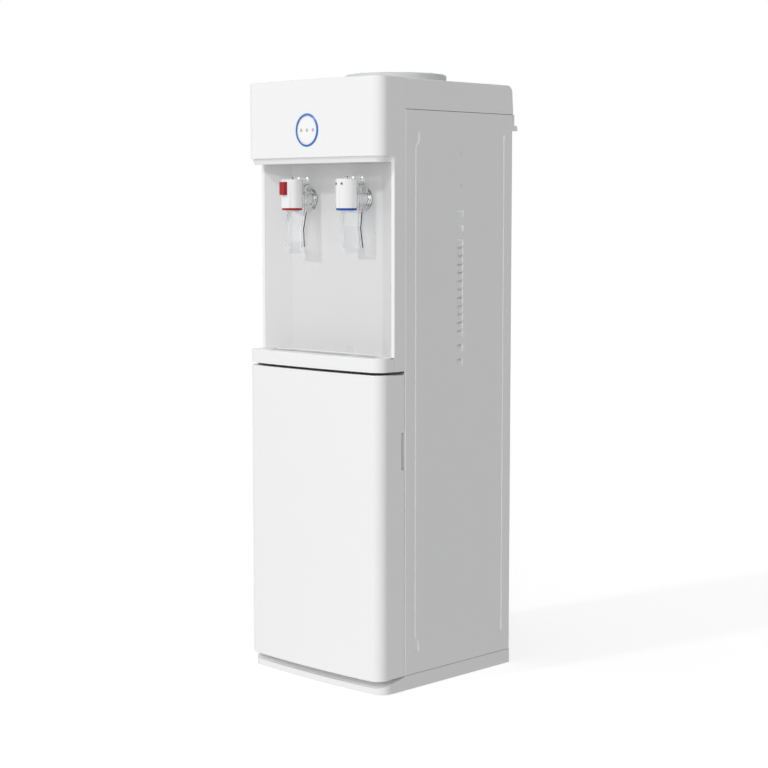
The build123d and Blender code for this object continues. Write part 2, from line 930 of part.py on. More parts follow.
with BuildPart() as drip_grille:
    slot_run = column_depth + shell_wall
    slots_per_section = int((grille_section - 2 * grille_border) / grille_pitch)
    with BuildSketch(level(grille_bottom + touch_gap)):
        add(basin_plan(touch_gap))
        middle_section = [-grille_section / 2, grille_section / 2]
        with Locations((0, panel_front - basin_front / 2 - grille_border)):
            with GridLocations(grille_pitch, 1, slots_per_section, 1):
                SlotOverall(slot_run, grille_slot, rotation=90, mode=Mode.SUBTRACT)
        side_slots = slots_per_section // 2
        side_middle = (grille_section / 2 + basin_half) / 2
        slot_y = panel_front - basin_front / 2 - grille_border
        with Locations((-side_middle, slot_y), (side_middle, slot_y)):
            with GridLocations(grille_pitch, 1, side_slots, 1):
                SlotOverall(slot_run, grille_slot, rotation=90, mode=Mode.SUBTRACT)
    extrude(amount=grille_thickness - touch_gap)

# ---------------------------------------------------------------- door


def door_plan(inset):
    """Plan of the door: bowed front, and a back left edge rounded about the hinge."""
    with BuildSketch() as plan:
        add(front_outline(inset, door_back - inset))
        rear_left = plan.vertices().group_by(Axis.Y)[-1].sort_by(Axis.X)[0]
        fillet(rear_left, hinge_inset - inset)
    return plan.sketch


with BuildPart() as door_outer:
    with BuildSketch(level(door_bottom)):
        add(door_plan(0))
    extrude(amount=door_height)
    fillet(door_outer.faces().sort_by(Axis.Z)[-1].edges(), door_edge_round)
    fillet(door_outer.faces().sort_by(Axis.Z)[0].edges(), door_edge_round)
    with BuildSketch(level(door_bottom + shell_wall)):
        add(door_plan(shell_wall))
    extrude(amount=door_height - 2 * shell_wall, mode=Mode.SUBTRACT)
    # Open back, closed by the inner panel
    back_left = hinge_x
    back_right = half_width - shell_wall
    with BuildSketch(level(door_bottom + shell_wall)):
        with Locations(((back_left + back_right) / 2, door_back - shell_wall / 2)):
            Rectangle(back_right - back_left, shell_wall)
    extrude(amount=door_height - 2 * shell_wall, mode=Mode.SUBTRACT)
    # Bosses for the hinge pins
    boss_height = hinge_pin_reach + hinge_boss_play
    for height in (door_bottom, door_top - boss_height - shell_wall):
        with BuildSketch(level(height)):
            with Locations((hinge_x, hinge_y)):
                Circle(hinge_boss_radius)
        extrude(amount=boss_height + shell_wall)
    for height in (door_bottom, door_top - boss_height):
        with BuildSketch(level(height)):
            with Locations((hinge_x, hinge_y)):
                Circle(hinge_pin_radius + pin_fit)
        extrude(amount=boss_height, mode=Mode.SUBTRACT)
    # Finger slot in the opening side, with its own walls
    slot_middle = door_bottom + slot_middle_rise
    slot_span = slot_front - door_back_gap
    with BuildSketch(level(slot_middle - slot_height / 2 - shell_wall)):
        with Locations((half_width - (slot_depth + shell_wall) / 2 - shell_wall / 2,
                        door_back - (slot_span + shell_wall) / 2)):
            Rectangle(slot_depth, slot_span + shell_wall)
    extrude(amount=slot_height + 2 * shell_wall)
    with BuildSketch(level(slot_middle - slot_height / 2)):
        with Locations((half_width - slot_depth / 2, door_back - slot_span / 2)):
            Rectangle(slot_depth, slot_span)
    extrude(amount=slot_height, mode=Mode.SUBTRACT)

with BuildPart() as door_inner:
    with BuildSketch(level(door_bottom + shell_wall)):
        with Locations(((back_left + back_right) / 2, door_back - inner_thickness / 2)):
            Rectangle(back_right - back_left, inner_thickness)
    extrude(amount=door_height - 2 * shell_wall)
    with BuildSketch(level(slot_middle - slot_height / 2 - 2 * shell_wall)):
        with Locations((half_width - slot_depth / 2 - shell_wall, door_back - inner_thickness / 2)):
            Rectangle(slot_depth + 2 * shell_wall, inner_thickness)
    extrude(amount=slot_height + 4 * shell_wall, mode=Mode.SUBTRACT)

gasket_back = panel_front - touch_gap
with BuildPart() as door_gasket:
    gasket_left = hinge_x + touch_gap
    gasket_right = half_width - slot_depth - 2 * shell_wall - gasket_inset / 2
    gasket_high = door_height - 2 * gasket_inset
    with BuildSketch(facing_front(gasket_back)):
        with Locations(((gasket_left + gasket_right) / 2, door_bottom + door_height / 2)):
            Rectangle(gasket_right - gasket_left, gasket_high)
            Rectangle(
                gasket_right - gasket_left - 2 * gasket_width,
                gasket_high - 2 * gasket_width,
                mode=Mode.SUBTRACT,
            )
    extrude(amount=gasket_back - door_back)

strike_z = door_top - strike_drop
with BuildPart() as door_strike:
    with BuildSketch(facing_front(door_back + strike_thickness)):
        with Locations((strike_side, strike_z)):
            RectangleRounded(strike_width, strike_height, strike_thickness)
    extrude(amount=strike_thickness)

# ---------------------------------------------------------------- storage compartment

liner_front = panel_front + sheet
liner_floor = base_top + liner_floor_rise
liner_top = partition_bottom
liner_ceiling = liner_top - liner_head_room


def liner_box(grow, front):
    """Stepped box of the storage compartment, shallow below and deep above the machine space."""
    low_back = panel_front + liner_low_depth + grow
    deep_back = panel_front + liner_deep_depth + grow
    step = base_top + liner_step_rise - grow
    with BuildSketch() as side_view:
        with BuildLine():
            Polyline(
                (front, liner_floor - grow),
                (low_back, liner_floor - grow),
                (low_back, step),
                (deep_back, step),
                (deep_back, liner_ceiling + grow),
                (front, liner_ceiling + grow),
                close=True,
            )
        make_face()
    return side_view.sketch


with BuildPart() as storage_liner:
    with BuildSketch(Plane.YZ):
        add(liner_box(liner_wall, liner_front))
    extrude(amount=liner_half + liner_wall, both=True)
    with BuildSketch(facing_front(liner_front + liner_wall)):
        with Locations((0, (base_top + liner_top) / 2)):
            Rectangle(2 * liner_flange_half, liner_top - base_top)
    extrude(amount=liner_wall)
    with BuildSketch(Plane.YZ):
        add(liner_box(0, liner_front))
    extrude(amount=liner_half, both=True, mode=Mode.SUBTRACT)
    # Two webs carry the partition on the liner's roof
    with BuildSketch(level(liner_ceiling + liner_wall)):
        with Locations((0, panel_front + liner_deep_depth / 2)):
            with GridLocations(liner_half, 1, 2, 1):
                Rectangle(2 * liner_wall, liner_deep_depth - panel_flange)
    extrude(amount=liner_top - liner_ceiling - liner_wall)

with BuildPart() as magnetic_catch:
    catch_front = door_back + strike_thickness + touch_gap
    with BuildSketch(facing_front(liner_front)):
        with Locations((strike_side, strike_z)):
            RectangleRounded(catch_width, catch_height, touch_gap)
    extrude(amount=liner_front - catch_front)

with BuildPart() as partition:
    partition_front = liner_front + liner_wall
    with BuildSketch(level(partition_bottom)):
        with Locations((0, (partition_front + back_inner) / 2)):
            Rectangle(2 * partition_half, back_inner - partition_front)
    extrude(amount=partition_thickness)

# ---------------------------------------------------------------- hinge pins

with BuildPart() as hinge_pins:
    with BuildSketch(level(door_bottom - hinge_pin_seat)):
        with Locations((hinge_x, hinge_y)):
            Circle(hinge_pin_radius)
    extrude(amount=hinge_pin_seat + hinge_pin_reach)
    with BuildSketch(level(ledge_bottom)):
        with Locations((hinge_x, hinge_y)):
            Circle(hinge_pin_radius)
    extrude(amount=-(ledge_bottom - door_top + hinge_pin_reach))

# ---------------------------------------------------------------- bottle seat

collar_base = cover_top + touch_gap
bowl_floor = cover_top - bowl_depth

with BuildPart() as bottle_collar:
    with BuildSketch(Plane.XZ.offset(-seat_y)):
        with BuildLine():
            Polyline(
                (collar_radius, collar_base),
                (collar_radius, collar_top),
                (collar_radius - collar_rim, collar_top),
                (bowl_radius - bowl_wall, collar_top - collar_mouth_slope - bowl_wall),
                (bowl_radius - bowl_wall, collar_base),
                (bowl_floor_radius - bowl_wall, bowl_floor + bowl_wall),
                (spigot_radius + hole_play, bowl_floor + bowl_wall),
                (spigot_radius + hole_play, bowl_floor),
                (bowl_floor_radius, bowl_floor),
                (bowl_radius, collar_base),
                close=True,
            )
        make_face()
    revolve(axis=Axis((0, seat_y, 0), (0, 0, 1)))
    outer_rim = bottle_collar.edges().filter_by(GeomType.CIRCLE).filter_by(
        lambda e: abs(e.radius - collar_radius) < pin_fit and e.center().Z > collar_base + touch_gap
    )
    fillet(outer_rim, collar_round)
    # Grip ribs round the mouth
    with BuildSketch(level(collar_top - collar_mouth_slope)):
        with Locations((0, seat_y)):
            with PolarLocations(collar_radius - collar_rim - rib_reach / 2, rib_count):
                Rectangle(2 * rib_reach, rib_width)
    extrude(amount=collar_mouth_slope + rib_height)

with BuildPart() as feed_probe:
    probe_base = bowl_floor + bowl_wall
    probe_top = collar_top - probe_below_rim
    with BuildSketch(Plane.XZ.offset(-seat_y)):
        with BuildLine():
            Polyline(
                (0, probe_top),
                (probe_tip_radius, probe_top),
                (probe_radius, probe_top - probe_tip),
                (probe_radius, probe_base + probe_flange_height),
                (probe_flange_radius, probe_base + probe_flange_height),
                (probe_flange_radius, probe_base),
                (spigot_radius, probe_base),
                (spigot_radius, bowl_floor - spigot_length),
                (0, bowl_floor - spigot_length),
                close=True,
            )
        make_face()
    revolve(axis=Axis((0, seat_y, 0), (0, 0, 1)))
    with BuildSketch(level(bowl_floor - spigot_length)):
        with Locations((0, seat_y)):
            Circle(probe_bore)
    extrude(amount=probe_top - probe_tip - bowl_floor + spigot_length, mode=Mode.SUBTRACT)
    with BuildSketch(facing_front(seat_y)):
        with Locations((0, probe_top - probe_tip - probe_slot_height)):
            Rectangle(probe_slot_width, probe_slot_height)
    extrude(amount=probe_radius, both=True, mode=Mode.SUBTRACT)

# ---------------------------------------------------------------- cold side

with BuildPart() as cold_tank:
    with BuildSketch(level(tank_bottom)):
        with Locations((0, seat_y)):
            Circle(tank_radius)
    extrude(amount=tank_height)
    with BuildSketch(level(tank_top)):
        with Locations((0, seat_y)):
            Circle(tank_neck_radius)
    extrude(amount=tank_neck_height)
    with BuildSketch(level(tank_bottom + tank_wall)):
        with Locations((0, seat_y)):
            Circle(tank_radius - tank_wall)
    extrude(amount=tank_height - 2 * tank_wall, mode=Mode.SUBTRACT)
    with BuildSketch(level(tank_top - tank_wall)):
        with Locations((0, seat_y)):
            Circle(tank_neck_radius - tank_wall)
    extrude(amount=tank_neck_height + tank_wall, mode=Mode.SUBTRACT)

with BuildPart() as evaporator:
    evaporator_low = tank_bottom + (tank_height - evaporator_height) / 2
    with BuildSketch(level(evaporator_low)):
        with Locations((0, seat_y)):
            Circle(tank_radius + evaporator_wall)
    extrude(amount=evaporator_height)
    ridge_step = evaporator_height / evaporator_ridges
    for i in range(evaporator_ridges):
        with BuildSketch(level(evaporator_low + (i + 0.5) * ridge_step - evaporator_ridge_height / 2)):
            with Locations((0, seat_y)):
                Circle(tank_radius + evaporator_wall + evaporator_ridge)
        extrude(amount=evaporator_ridge_height)
    with BuildSketch(level(evaporator_low)):
        with Locations((0, seat_y)):
            Circle(tank_radius)
    extrude(amount=evaporator_height, mode=Mode.SUBTRACT)

cold_outlet_x = tank_radius / 2
cold_outlet_z = tank_bottom + tube_bend
feed_drop_z = foam_bottom - frame_plate - 2 * tube_bend

with BuildPart() as cold_insulation:
    with BuildSketch(level(foam_bottom)):
        with Locations((0, seat_y)):
            RectangleRounded(2 * foam_half, 2 * foam_half, foam_corner)
    extrude(amount=tank_top - foam_bottom)
    with BuildSketch(level(tank_bottom)):
        with Locations((0, seat_y)):
            Circle(foam_inner)
    extrude(amount=tank_height, mode=Mode.SUBTRACT)
    with BuildSketch(level(foam_bottom)):
        with Locations((0, seat_y)):
            Circle(tube_radius + hole_play)
    extrude(amount=foam_floor, mode=Mode.SUBTRACT)
    add(
        level_rod(cold_outlet_x, cold_outlet_z, seat_y - foam_half, seat_y, tube_radius + hole_play),
        mode=Mode.SUBTRACT,
    )

with BuildPart() as tank_frame:
    with BuildSketch(level(foam_bottom - frame_plate)):
        with Locations((0, seat_y)):
            Rectangle(2 * frame_half, frame_depth)
            Circle(tube_radius + hole_play, mode=Mode.SUBTRACT)
    extrude(amount=frame_plate)
    ear_top = cover_bottom - frame_ear_top_drop
    with BuildSketch(level(foam_bottom)):
        for side in (-1, 1):
            with Locations((side * (frame_half - frame_plate / 2), screw_y)):
                Rectangle(frame_plate, frame_ear_width)
    extrude(amount=ear_top - foam_bottom)
    with BuildSketch(Plane.YZ):
        with Locations((screw_y, screw_upper), (screw_y, screw_upper - side_screw_pitch)):
            Circle(screw_shank_radius + hole_play)
    extrude(amount=frame_half, both=True, mode=Mode.SUBTRACT)

# ---------------------------------------------------------------- hot side

with BuildPart() as hot_tank:
    with BuildSketch(level(hot_tank_bottom)):
        with Locations((hot_tank_x, hot_tank_y)):
            Circle(hot_tank_radius)
    extrude(amount=hot_tank_height)
    with BuildSketch(level(hot_tank_bottom + tank_wall)):
        with Locations((hot_tank_x, hot_tank_y)):
            Circle(hot_tank_radius - tank_wall)
    extrude(amount=hot_tank_height - 2 * tank_wall, mode=Mode.SUBTRACT)

with BuildPart() as heater_band:
    with BuildSketch(level(hot_tank_bottom + heater_rise)):
        with Locations((hot_tank_x, hot_tank_y)):
            Circle(hot_tank_radius + heater_wall)
            Circle(hot_tank_radius, mode=Mode.SUBTRACT)
    extrude(amount=heater_height)

hot_foam_inner = hot_tank_radius + heater_wall + touch_gap
drain_start = hot_tank_x + hot_tank_radius
with BuildPart() as hot_insulation:
    with BuildSketch(level(partition_top)):
        with Locations((hot_tank_x, hot_tank_y)):
            Circle(hot_foam_inner + hot_foam_wall)
    extrude(amount=hot_tank_top - partition_top)
    with BuildSketch(level(hot_tank_bottom)):
        with Locations((hot_tank_x, hot_tank_y)):
            Circle(hot_foam_inner)
    extrude(amount=hot_tank_height, mode=Mode.SUBTRACT)
    with BuildSketch(Plane.YZ.offset(hot_tank_x)):
        with Locations((hot_tank_y, drain_z)):
            Circle(tube_radius + hole_play)
    extrude(amount=hot_foam_inner + 2 * hot_foam_wall, mode=Mode.SUBTRACT)

with BuildPart() as thermostats:
    with BuildSketch(level(hot_tank_top)):
        with Locations((hot_tank_x + thermostat_radius, hot_tank_y)):
            with GridLocations(1, thermostat_pitch, 1, 2):
                Circle(thermostat_radius)
    extrude(amount=thermostat_height)
    with BuildSketch(level(hot_tank_top + thermostat_height)):
        with Locations((hot_tank_x + thermostat_radius, hot_tank_y)):
            with GridLocations(1, thermostat_pitch, 1, 2):
                Rectangle(thermostat_radius, thin_sheet)
    extrude(amount=thermostat_height)

# ---------------------------------------------------------------- water tubes

shank_end = panel_front + shank_length
tube_lane = shank_end + 2 * tube_bend
tube_bore = tube_radius - pipe_wall

with BuildPart() as cold_tube:
    tank_side = seat_y - (tank_radius**2 - (cold_outlet_x - tube_radius) ** 2) ** 0.5
    add(pipe(
        [
            (cold_outlet_x, tank_side, cold_outlet_z),
            (cold_outlet_x, tube_lane, cold_outlet_z),
            (cold_x, tube_lane, neck_z),
            (cold_x, shank_end, neck_z),
        ],
        tight_bend, tube_radius, tube_bore,
    ))

hot_outlet_x = hot_tank_x - hot_tank_radius / 2
hot_outlet_y = hot_tank_y - hot_tank_radius / 2
with BuildPart() as hot_tube:
    add(pipe(
        [
            (hot_outlet_x, hot_outlet_y, hot_tank_top),
            (hot_outlet_x, hot_outlet_y, hot_tank_top + 2 * tube_bend),
            (hot_x, tube_lane, hot_tank_top + 3 * tube_bend),
            (hot_x, tube_lane, neck_z),
            (hot_x, shank_end, neck_z),
        ],
        [tight_bend, tube_bend, tube_bend], tube_radius, tube_bore,
    ))

with BuildPart() as hot_feed_tube:
    feed_in_y = hot_tank_y + hot_tank_radius / 2
    feed_in_x = hot_tank_x - hot_tank_radius / 2
    add(pipe(
        [
            (0, seat_y, tank_bottom),
            (0, seat_y, feed_drop_z),
            (feed_in_x, feed_in_y, feed_drop_z),
            (feed_in_x, feed_in_y, hot_tank_top),
        ],
        tight_bend, tube_radius, tube_bore,
    ))

with BuildPart() as drain_tube:
    add(pipe(
        [
            (drain_start, hot_tank_y, drain_z),
            (drain_side, hot_tank_y, drain_z),
            (drain_side, back_inner, drain_z),
        ],
        tube_bend, tube_radius, tube_bore,
    ))

# ---------------------------------------------------------------- taps


def lever_profile(points_front, depth):
    """Side view of a paddle: a front line and the same line set back by depth."""
    back = [(y + depth, z) for y, z in reversed(points_front)]
    with BuildSketch() as profile:
        with BuildLine():
            Polyline(*points_front, *back, close=True)
        make_face()
    return profile.sketch


rim_front = tap_y + rim_reach
rim_back = rim_front + lever_rim_depth
paddle_toe = tap_top - paddle_bottom_drop
hot_line = [
    (rim_front, pivot_z),
    (rim_front, tap_bottom),
    (rim_front - hot_bend_reach, tap_bottom - hot_bend_drop),
    (rim_front - hot_bend_reach + hot_toe_back, paddle_toe),
]
cold_line = [
    (rim_front, pivot_z),
    (rim_front, tap_bottom),
    (rim_front - cold_bow, tap_bottom - cold_bow_drop),
    (rim_front + cold_toe_back, paddle_toe),
]
arm_bottom = tap_top + arm_lift
arm_top = arm_bottom + arm_thickness
pin_bore = lever_pin_radius + pin_fit
chamber_top = tap_bottom + chamber_height
nozzle_end = tap_bottom - tap_ring_height - nozzle_drop
throat_bottom = tap_bottom + throat_rise
throat_top = throat_bottom + throat_height
plug_bottom = throat_bottom - touch_gap - plug_height
sheet_top = nozzle_end - sheet_play

for name, x, line in (("hot", hot_x, hot_line), ("cold", cold_x, cold_line)):
    with BuildPart() as tap_body:
        with BuildSketch(level(tap_bottom)):
            with Locations((x, tap_y)):
                Circle(tap_radius)
        extrude(amount=tap_body_height)
        fillet(tap_body.edges().sort_by(Axis.Z)[-1], tap_top_round)
        with BuildSketch(level(nozzle_end)):
            with Locations((x, tap_y)):
                Circle(nozzle_radius)
        extrude(amount=tap_bottom - nozzle_end)
        add(level_rod(x, neck_z, tap_y, panel_front, neck_radius))
        add(level_rod(x, neck_z, panel_front - flange_thickness / 2, panel_front, flange_radius))
        add(
            level_rod(x, neck_z, panel_front - flange_thickness, panel_front, flange_radius - flange_step)
        )
        add(level_rod(x, neck_z, panel_front, shank_end, shank_radius))
        # Lugs for the lever pin
        for side in (-1, 1):
            lug_start = x + side * lug_inner if side > 0 else x - lug_outer
            with BuildSketch(Plane.YZ.offset(lug_start)):
                with Locations((pivot_y, pivot_z)):
                    Circle(lug_radius)
                with Locations((pivot_y - lug_radius, pivot_z)):
                    Rectangle(2 * lug_radius, 2 * lug_radius)
            extrude(amount=lug_outer - lug_inner)
        # Cup in the top, stem guide, valve chamber, throat and nozzle
        with BuildSketch(level(tap_top)):
            with Locations((x, tap_y)):
                Circle(cup_radius)
        extrude(amount=-cup_depth, mode=Mode.SUBTRACT)
        for low, high in ((nozzle_end, throat_bottom), (throat_top, chamber_top)):
            with BuildSketch(level(low)):
                with Locations((x, tap_y)):
                    Circle(chamber_radius)
            extrude(amount=high - low, mode=Mode.SUBTRACT)
        with BuildSketch(level(chamber_top)):
            with Locations((x, tap_y)):
                Circle(stem_radius + pin_fit)
        extrude(amount=tap_body_height, mode=Mode.SUBTRACT)
        with BuildSketch(level(throat_bottom)):
            with Locations((x, tap_y)):
                Circle(throat_radius)
        extrude(amount=throat_height, mode=Mode.SUBTRACT)
        add(level_rod(x, neck_z, tap_y, shank_end, shank_bore), mode=Mode.SUBTRACT)
        with BuildSketch(Plane.YZ.offset(x)):
            with Locations((pivot_y, pivot_z)):
                Circle(lever_pin_radius + pin_fit / 2)
        extrude(amount=lug_outer, both=True, mode=Mode.SUBTRACT)
        lock_top = tap_top - lock_drop
        lock_middle = lock_top - lock_height / 2
        tap_face = tap_y - tap_radius
        if name == "hot":
            pocket_back = tap_face + lock_depth + lock_travel + lock_play
            with BuildSketch(facing_front(pocket_back)):
                with Locations((x, lock_middle)):
                    Rectangle(lock_width + 2 * lock_play, lock_height + 2 * lock_play)
            extrude(amount=tap_radius, mode=Mode.SUBTRACT)
        else:
            with BuildSketch(facing_front(tap_face + hook_hole_depth)):
                with Locations((x, lock_top - 2 * hook_hole_radius)):
                    with GridLocations(hook_hole_pitch, 1, 2, 1):
                        Circle(hook_hole_radius)
            extrude(amount=hook_hole_depth, mode=Mode.SUBTRACT)
    tap_body.part.label = f"{name}_tap_body"
    export_step(tap_body.part, f"parts/{name}_tap_body.step")

    with BuildPart() as tap_ring:
        with BuildSketch(level(tap_bottom - tap_ring_height)):
            with Locations((x, tap_y)):
                Circle(tap_ring_radius)
                Circle(nozzle_radius, mode=Mode.SUBTRACT)
        extrude(amount=tap_ring_height)
        chamfer(tap_ring.faces().sort_by(Axis.Z)[0].edges().sort_by(SortBy.LENGTH)[-1], pipe_wall / 2)
    tap_ring.part.label = f"{name}_tap_ring"
    export_step(tap_ring.part, f"parts/{name}_tap_ring.step")

    with BuildPart() as lever:
        for side in (-1, 1):
            rim_start = x + side * lever_half if side < 0 else x + lever_half - lever_rim
            with BuildSketch(Plane.YZ.offset(rim_start)):
                add(lever_profile(line, lever_rim_depth))
            extrude(amount=lever_rim)
            # Ear: from the rim round the pin and up to the arm over the tap
            ear_start = x - lever_half if side < 0 else x + lever_half - ear_thickness
            with BuildSketch(Plane.YZ.offset(ear_start)):
                with BuildLine():
                    Polyline(
                        (rim_front, pivot_z - 3 * lug_radius),
                        (rim_back, pivot_z - 3 * lug_radius),
                        (rim_back, pivot_z),
                        (pivot_y + lug_radius, arm_top),
                        (pivot_y - lug_radius / 2, arm_top),
                        (pivot_y - lug_radius / 2, pivot_z + lug_radius / 2),
                        (pivot_y - lug_radius, pivot_z),
                        (pivot_y - lug_radius / 2, pivot_z - lug_radius),
                        close=True,
                    )
                make_face()
                with Locations((pivot_y, pivot_z)):
                    Circle(lug_radius)
                    Circle(pin_bore, mode=Mode.SUBTRACT)
            extrude(amount=ear_thickness)
        # Sheet between the rims, from below the nozzle down to the toe
        with BuildSketch(Plane.YZ.offset(x)):
            sheet_line = [(y + lever_rim_depth - lever_sheet, z) for y, z in line]
            add(lever_profile(sheet_line, lever_sheet))
            with Locations((tap_y, (sheet_top + paddle_toe) / 2)):
                Rectangle(2 * tap_reach, sheet_top - paddle_toe, mode=Mode.INTERSECT)
        extrude(amount=lever_half, both=True)
        # Arm over the tap: it presses the valve stem
        with BuildSketch(level(arm_bottom)):
            with Locations((x, pivot_y + lug_radius / 4)):
                Rectangle(2 * lever_half, 1.5 * lug_radius)
            arm_back = pivot_y
            with Locations((x, (arm_back + panel_front - arm_tip + arm_half) / 2)):
                Rectangle(2 * arm_half, arm_back - panel_front + arm_tip - arm_half)
            with Locations((x, panel_front - arm_tip + arm_half)):
                Circle(arm_half)
        extrude(amount=arm_thickness)
        for side in (-1, 1):
            with BuildSketch(Plane.YZ.offset(x)):
                with Locations((pivot_y, pivot_z)):
                    Circle(pin_bore)
            extrude(amount=side * lever_half, mode=Mode.SUBTRACT)
    lever.part.label = f"{name}_lever"
    export_step(lever.part, f"parts/{name}_lever.step")

    with BuildPart() as stem:
        with BuildSketch(level(plug_bottom)):
            with Locations((x, tap_y)):
                Circle(stem_radius)
        extrude(amount=arm_bottom - stem_play - plug_bottom)
        with BuildSketch(level(plug_bottom)):
            with Locations((x, tap_y)):
                Circle(plug_radius)
        extrude(amount=plug_height)
    stem.part.label = f"{name}_stem"
    export_step(stem.part, f"parts/{name}_stem.step")

with BuildPart() as child_lock_button:
    with BuildSketch(facing_front(tap_face + lock_depth)):
        with Locations((hot_x, lock_middle)):
            Rectangle(lock_width, lock_height)
    extrude(amount=lock_depth + lock_proud)
    fillet(child_lock_button.edges().filter_by(Axis.Y), pipe_wall)
    fillet(child_lock_button.faces().sort_by(Axis.Y)[0].edges(), pipe_wall / 2)

with BuildPart() as tap_nuts:
    with BuildSketch(facing_front(panel_front + shell_wall + nut_thickness)):
        with Locations((hot_x, neck_z), (cold_x, neck_z)):
            RegularPolygon(nut_flats / 2, 6, major_radius=False)
            Circle(shank_radius + pin_fit, mode=Mode.SUBTRACT)
    extrude(amount=nut_thickness)

with BuildPart() as lever_pins:
    for x in (hot_x, cold_x):
        with BuildSketch(Plane.YZ.offset(x)):
            with Locations((pivot_y, pivot_z)):
                Circle(lever_pin_radius)
        extrude(amount=lever_half, both=True)

# ---------------------------------------------------------------- refrigeration

plate_places = [
    (
        compressor_x + i * (foot_plate_width / 2 - grommet_inset),
        compressor_y + j * (foot_plate_depth / 2 - grommet_inset),
    )
    for i in (-1, 1)
    for j in (-1, 1)
]

with BuildPart() as compressor:
    with BuildSketch(level(base_floor + grommet_height)):
        with Locations((compressor_x, compressor_y)):
            RectangleRounded(foot_plate_width, foot_plate_depth, grommet_inset)
        with Locations(*plate_places):
            Circle(grommet_radius / 2 + hole_play, mode=Mode.SUBTRACT)
    extrude(amount=foot_plate_thickness)
    with BuildSketch(level(shell_bottom)):
        with Locations((compressor_x, compressor_y)):
            Circle(compressor_radius)
    extrude(amount=compressor_body + compressor_dome)
    fillet(compressor.faces().sort_by(Axis.Z)[-1].edges(), compressor_dome)
    # Rolled weld band round the shell
    with BuildSketch(level(shell_bottom + compressor_body / 2)):
        with Locations((compressor_x, compressor_y)):
            Circle(compressor_radius + line_radius / 2)
    extrude(amount=2 * line_radius)

with BuildPart() as compressor_grommets:
    with BuildSketch(level(base_floor)):
        with Locations(*plate_places):
            Circle(grommet_radius)
    extrude(amount=grommet_height)
    with BuildSketch(level(base_floor + grommet_height)):
        with Locations(*plate_places):
            Circle(grommet_radius / 2)
    extrude(amount=foot_plate_thickness + line_radius)

line_end_x = condenser_half - condenser_pitch / 2
line_end_y = back_inner - 2 * line_bend
with BuildPart() as refrigerant_lines:
    discharge_x = compressor_x + compressor_radius / 2
    add(pipe(
        [
            (discharge_x, compressor_y, shell_top),
            (discharge_x, compressor_y, condenser_low),
            (line_end_x, compressor_y, condenser_low),
            (line_end_x, line_end_y, condenser_low),
        ],
        line_bend, line_radius, 0,
    ))
    # Filter drier hanging from the upper end of the condenser
    with BuildSketch(level(condenser_high - drier_length - line_bend)):
        with Locations((line_end_x, line_end_y)):
            Circle(drier_radius)
    extrude(amount=drier_length)
    with BuildSketch(level(condenser_high - line_bend)):
        with Locations((line_end_x, line_end_y)):
            Circle(line_radius)
    extrude(amount=line_bend - condenser_tube_radius)

with BuildPart() as condenser:
    route_points = [(line_end_x, line_end_y, condenser_low)]
    for i in range(condenser_passes):
        height = condenser_low + i * condenser_pitch
        near = 1 if i % 2 == 0 else -1
        first = line_end_x if i == 0 else near * condenser_half
        last = line_end_x if i == condenser_passes - 1 else -near * condenser_half
        route_points += [(first, condenser_y, height), (last, condenser_y, height)]
    route_points.append((line_end_x, line_end_y, condenser_high))
    turn = condenser_pitch / 2 - touch_gap
    radii = [tight_bend] + [turn] * (len(route_points) - 4) + [tight_bend]
    add(pipe(route_points, radii, condenser_tube_radius, 0))
    wire_low = condenser_low - wire_overhang
    wire_y = condenser_y + condenser_tube_radius + wire_radius + pin_fit
    with BuildSketch(level(wire_low)):
        with Locations((0, wire_y)):
            with GridLocations(wire_pitch, 1, wire_count, 1):
                Circle(wire_radius)
    extrude(amount=condenser_high - condenser_low + 2 * wire_overhang)

# ---------------------------------------------------------------- back fittings

with BuildPart() as wall_spacers:
    spacer_top = cover_bottom
    strip_low = spacer_top - spacer_strip_height
    with BuildSketch(Plane.YZ.offset(half_width - spacer_side_gap)):
        with BuildLine():
            Polyline(
                (panel_back, spacer_top),
                (panel_back + spacer_strip_reach, spacer_top),
                (panel_back + spacer_strip_reach, strip_low + spacer_hook_height),
                (rear_most - spacer_width / 2, strip_low + spacer_hook_height),
                (rear_most, strip_low + spacer_hook_height / 2),
                (rear_most, strip_low),
                (panel_back, strip_low),
                close=True,
            )
        make_face()
    extrude(amount=-spacer_width)
    mirror(about=Plane.YZ)

rocker_reach = rocker_height / 2 - rocker_play
with BuildPart() as switch_frame:
    with BuildSketch(facing_front(back_face + switch_bezel_depth)):
        with Locations(*switch_places):
            RectangleRounded(
                switch_width + 2 * switch_bezel, switch_height + 2 * switch_bezel, switch_bezel
            )
    extrude(amount=switch_bezel_depth)
    with BuildSketch(facing_front(back_face)):
        with Locations(*switch_places):
            Rectangle(switch_width, switch_height)
    extrude(amount=switch_inside)
    with BuildSketch(facing_front(back_face + switch_bezel_depth)):
        with Locations(*switch_places):
            Rectangle(rocker_width + 2 * rocker_play, rocker_height + 2 * rocker_play)
    extrude(amount=rocker_depth + 2 * switch_bezel_depth, mode=Mode.SUBTRACT)
    pin_y = back_face - rocker_depth / 2
    with BuildSketch(Plane.YZ.offset(switch_side - cabinet_width / 2)):
        with Locations((pin_y, switch_z)):
            Circle(rocker_pin_radius + pin_fit)
    extrude(amount=cabinet_width, mode=Mode.SUBTRACT)

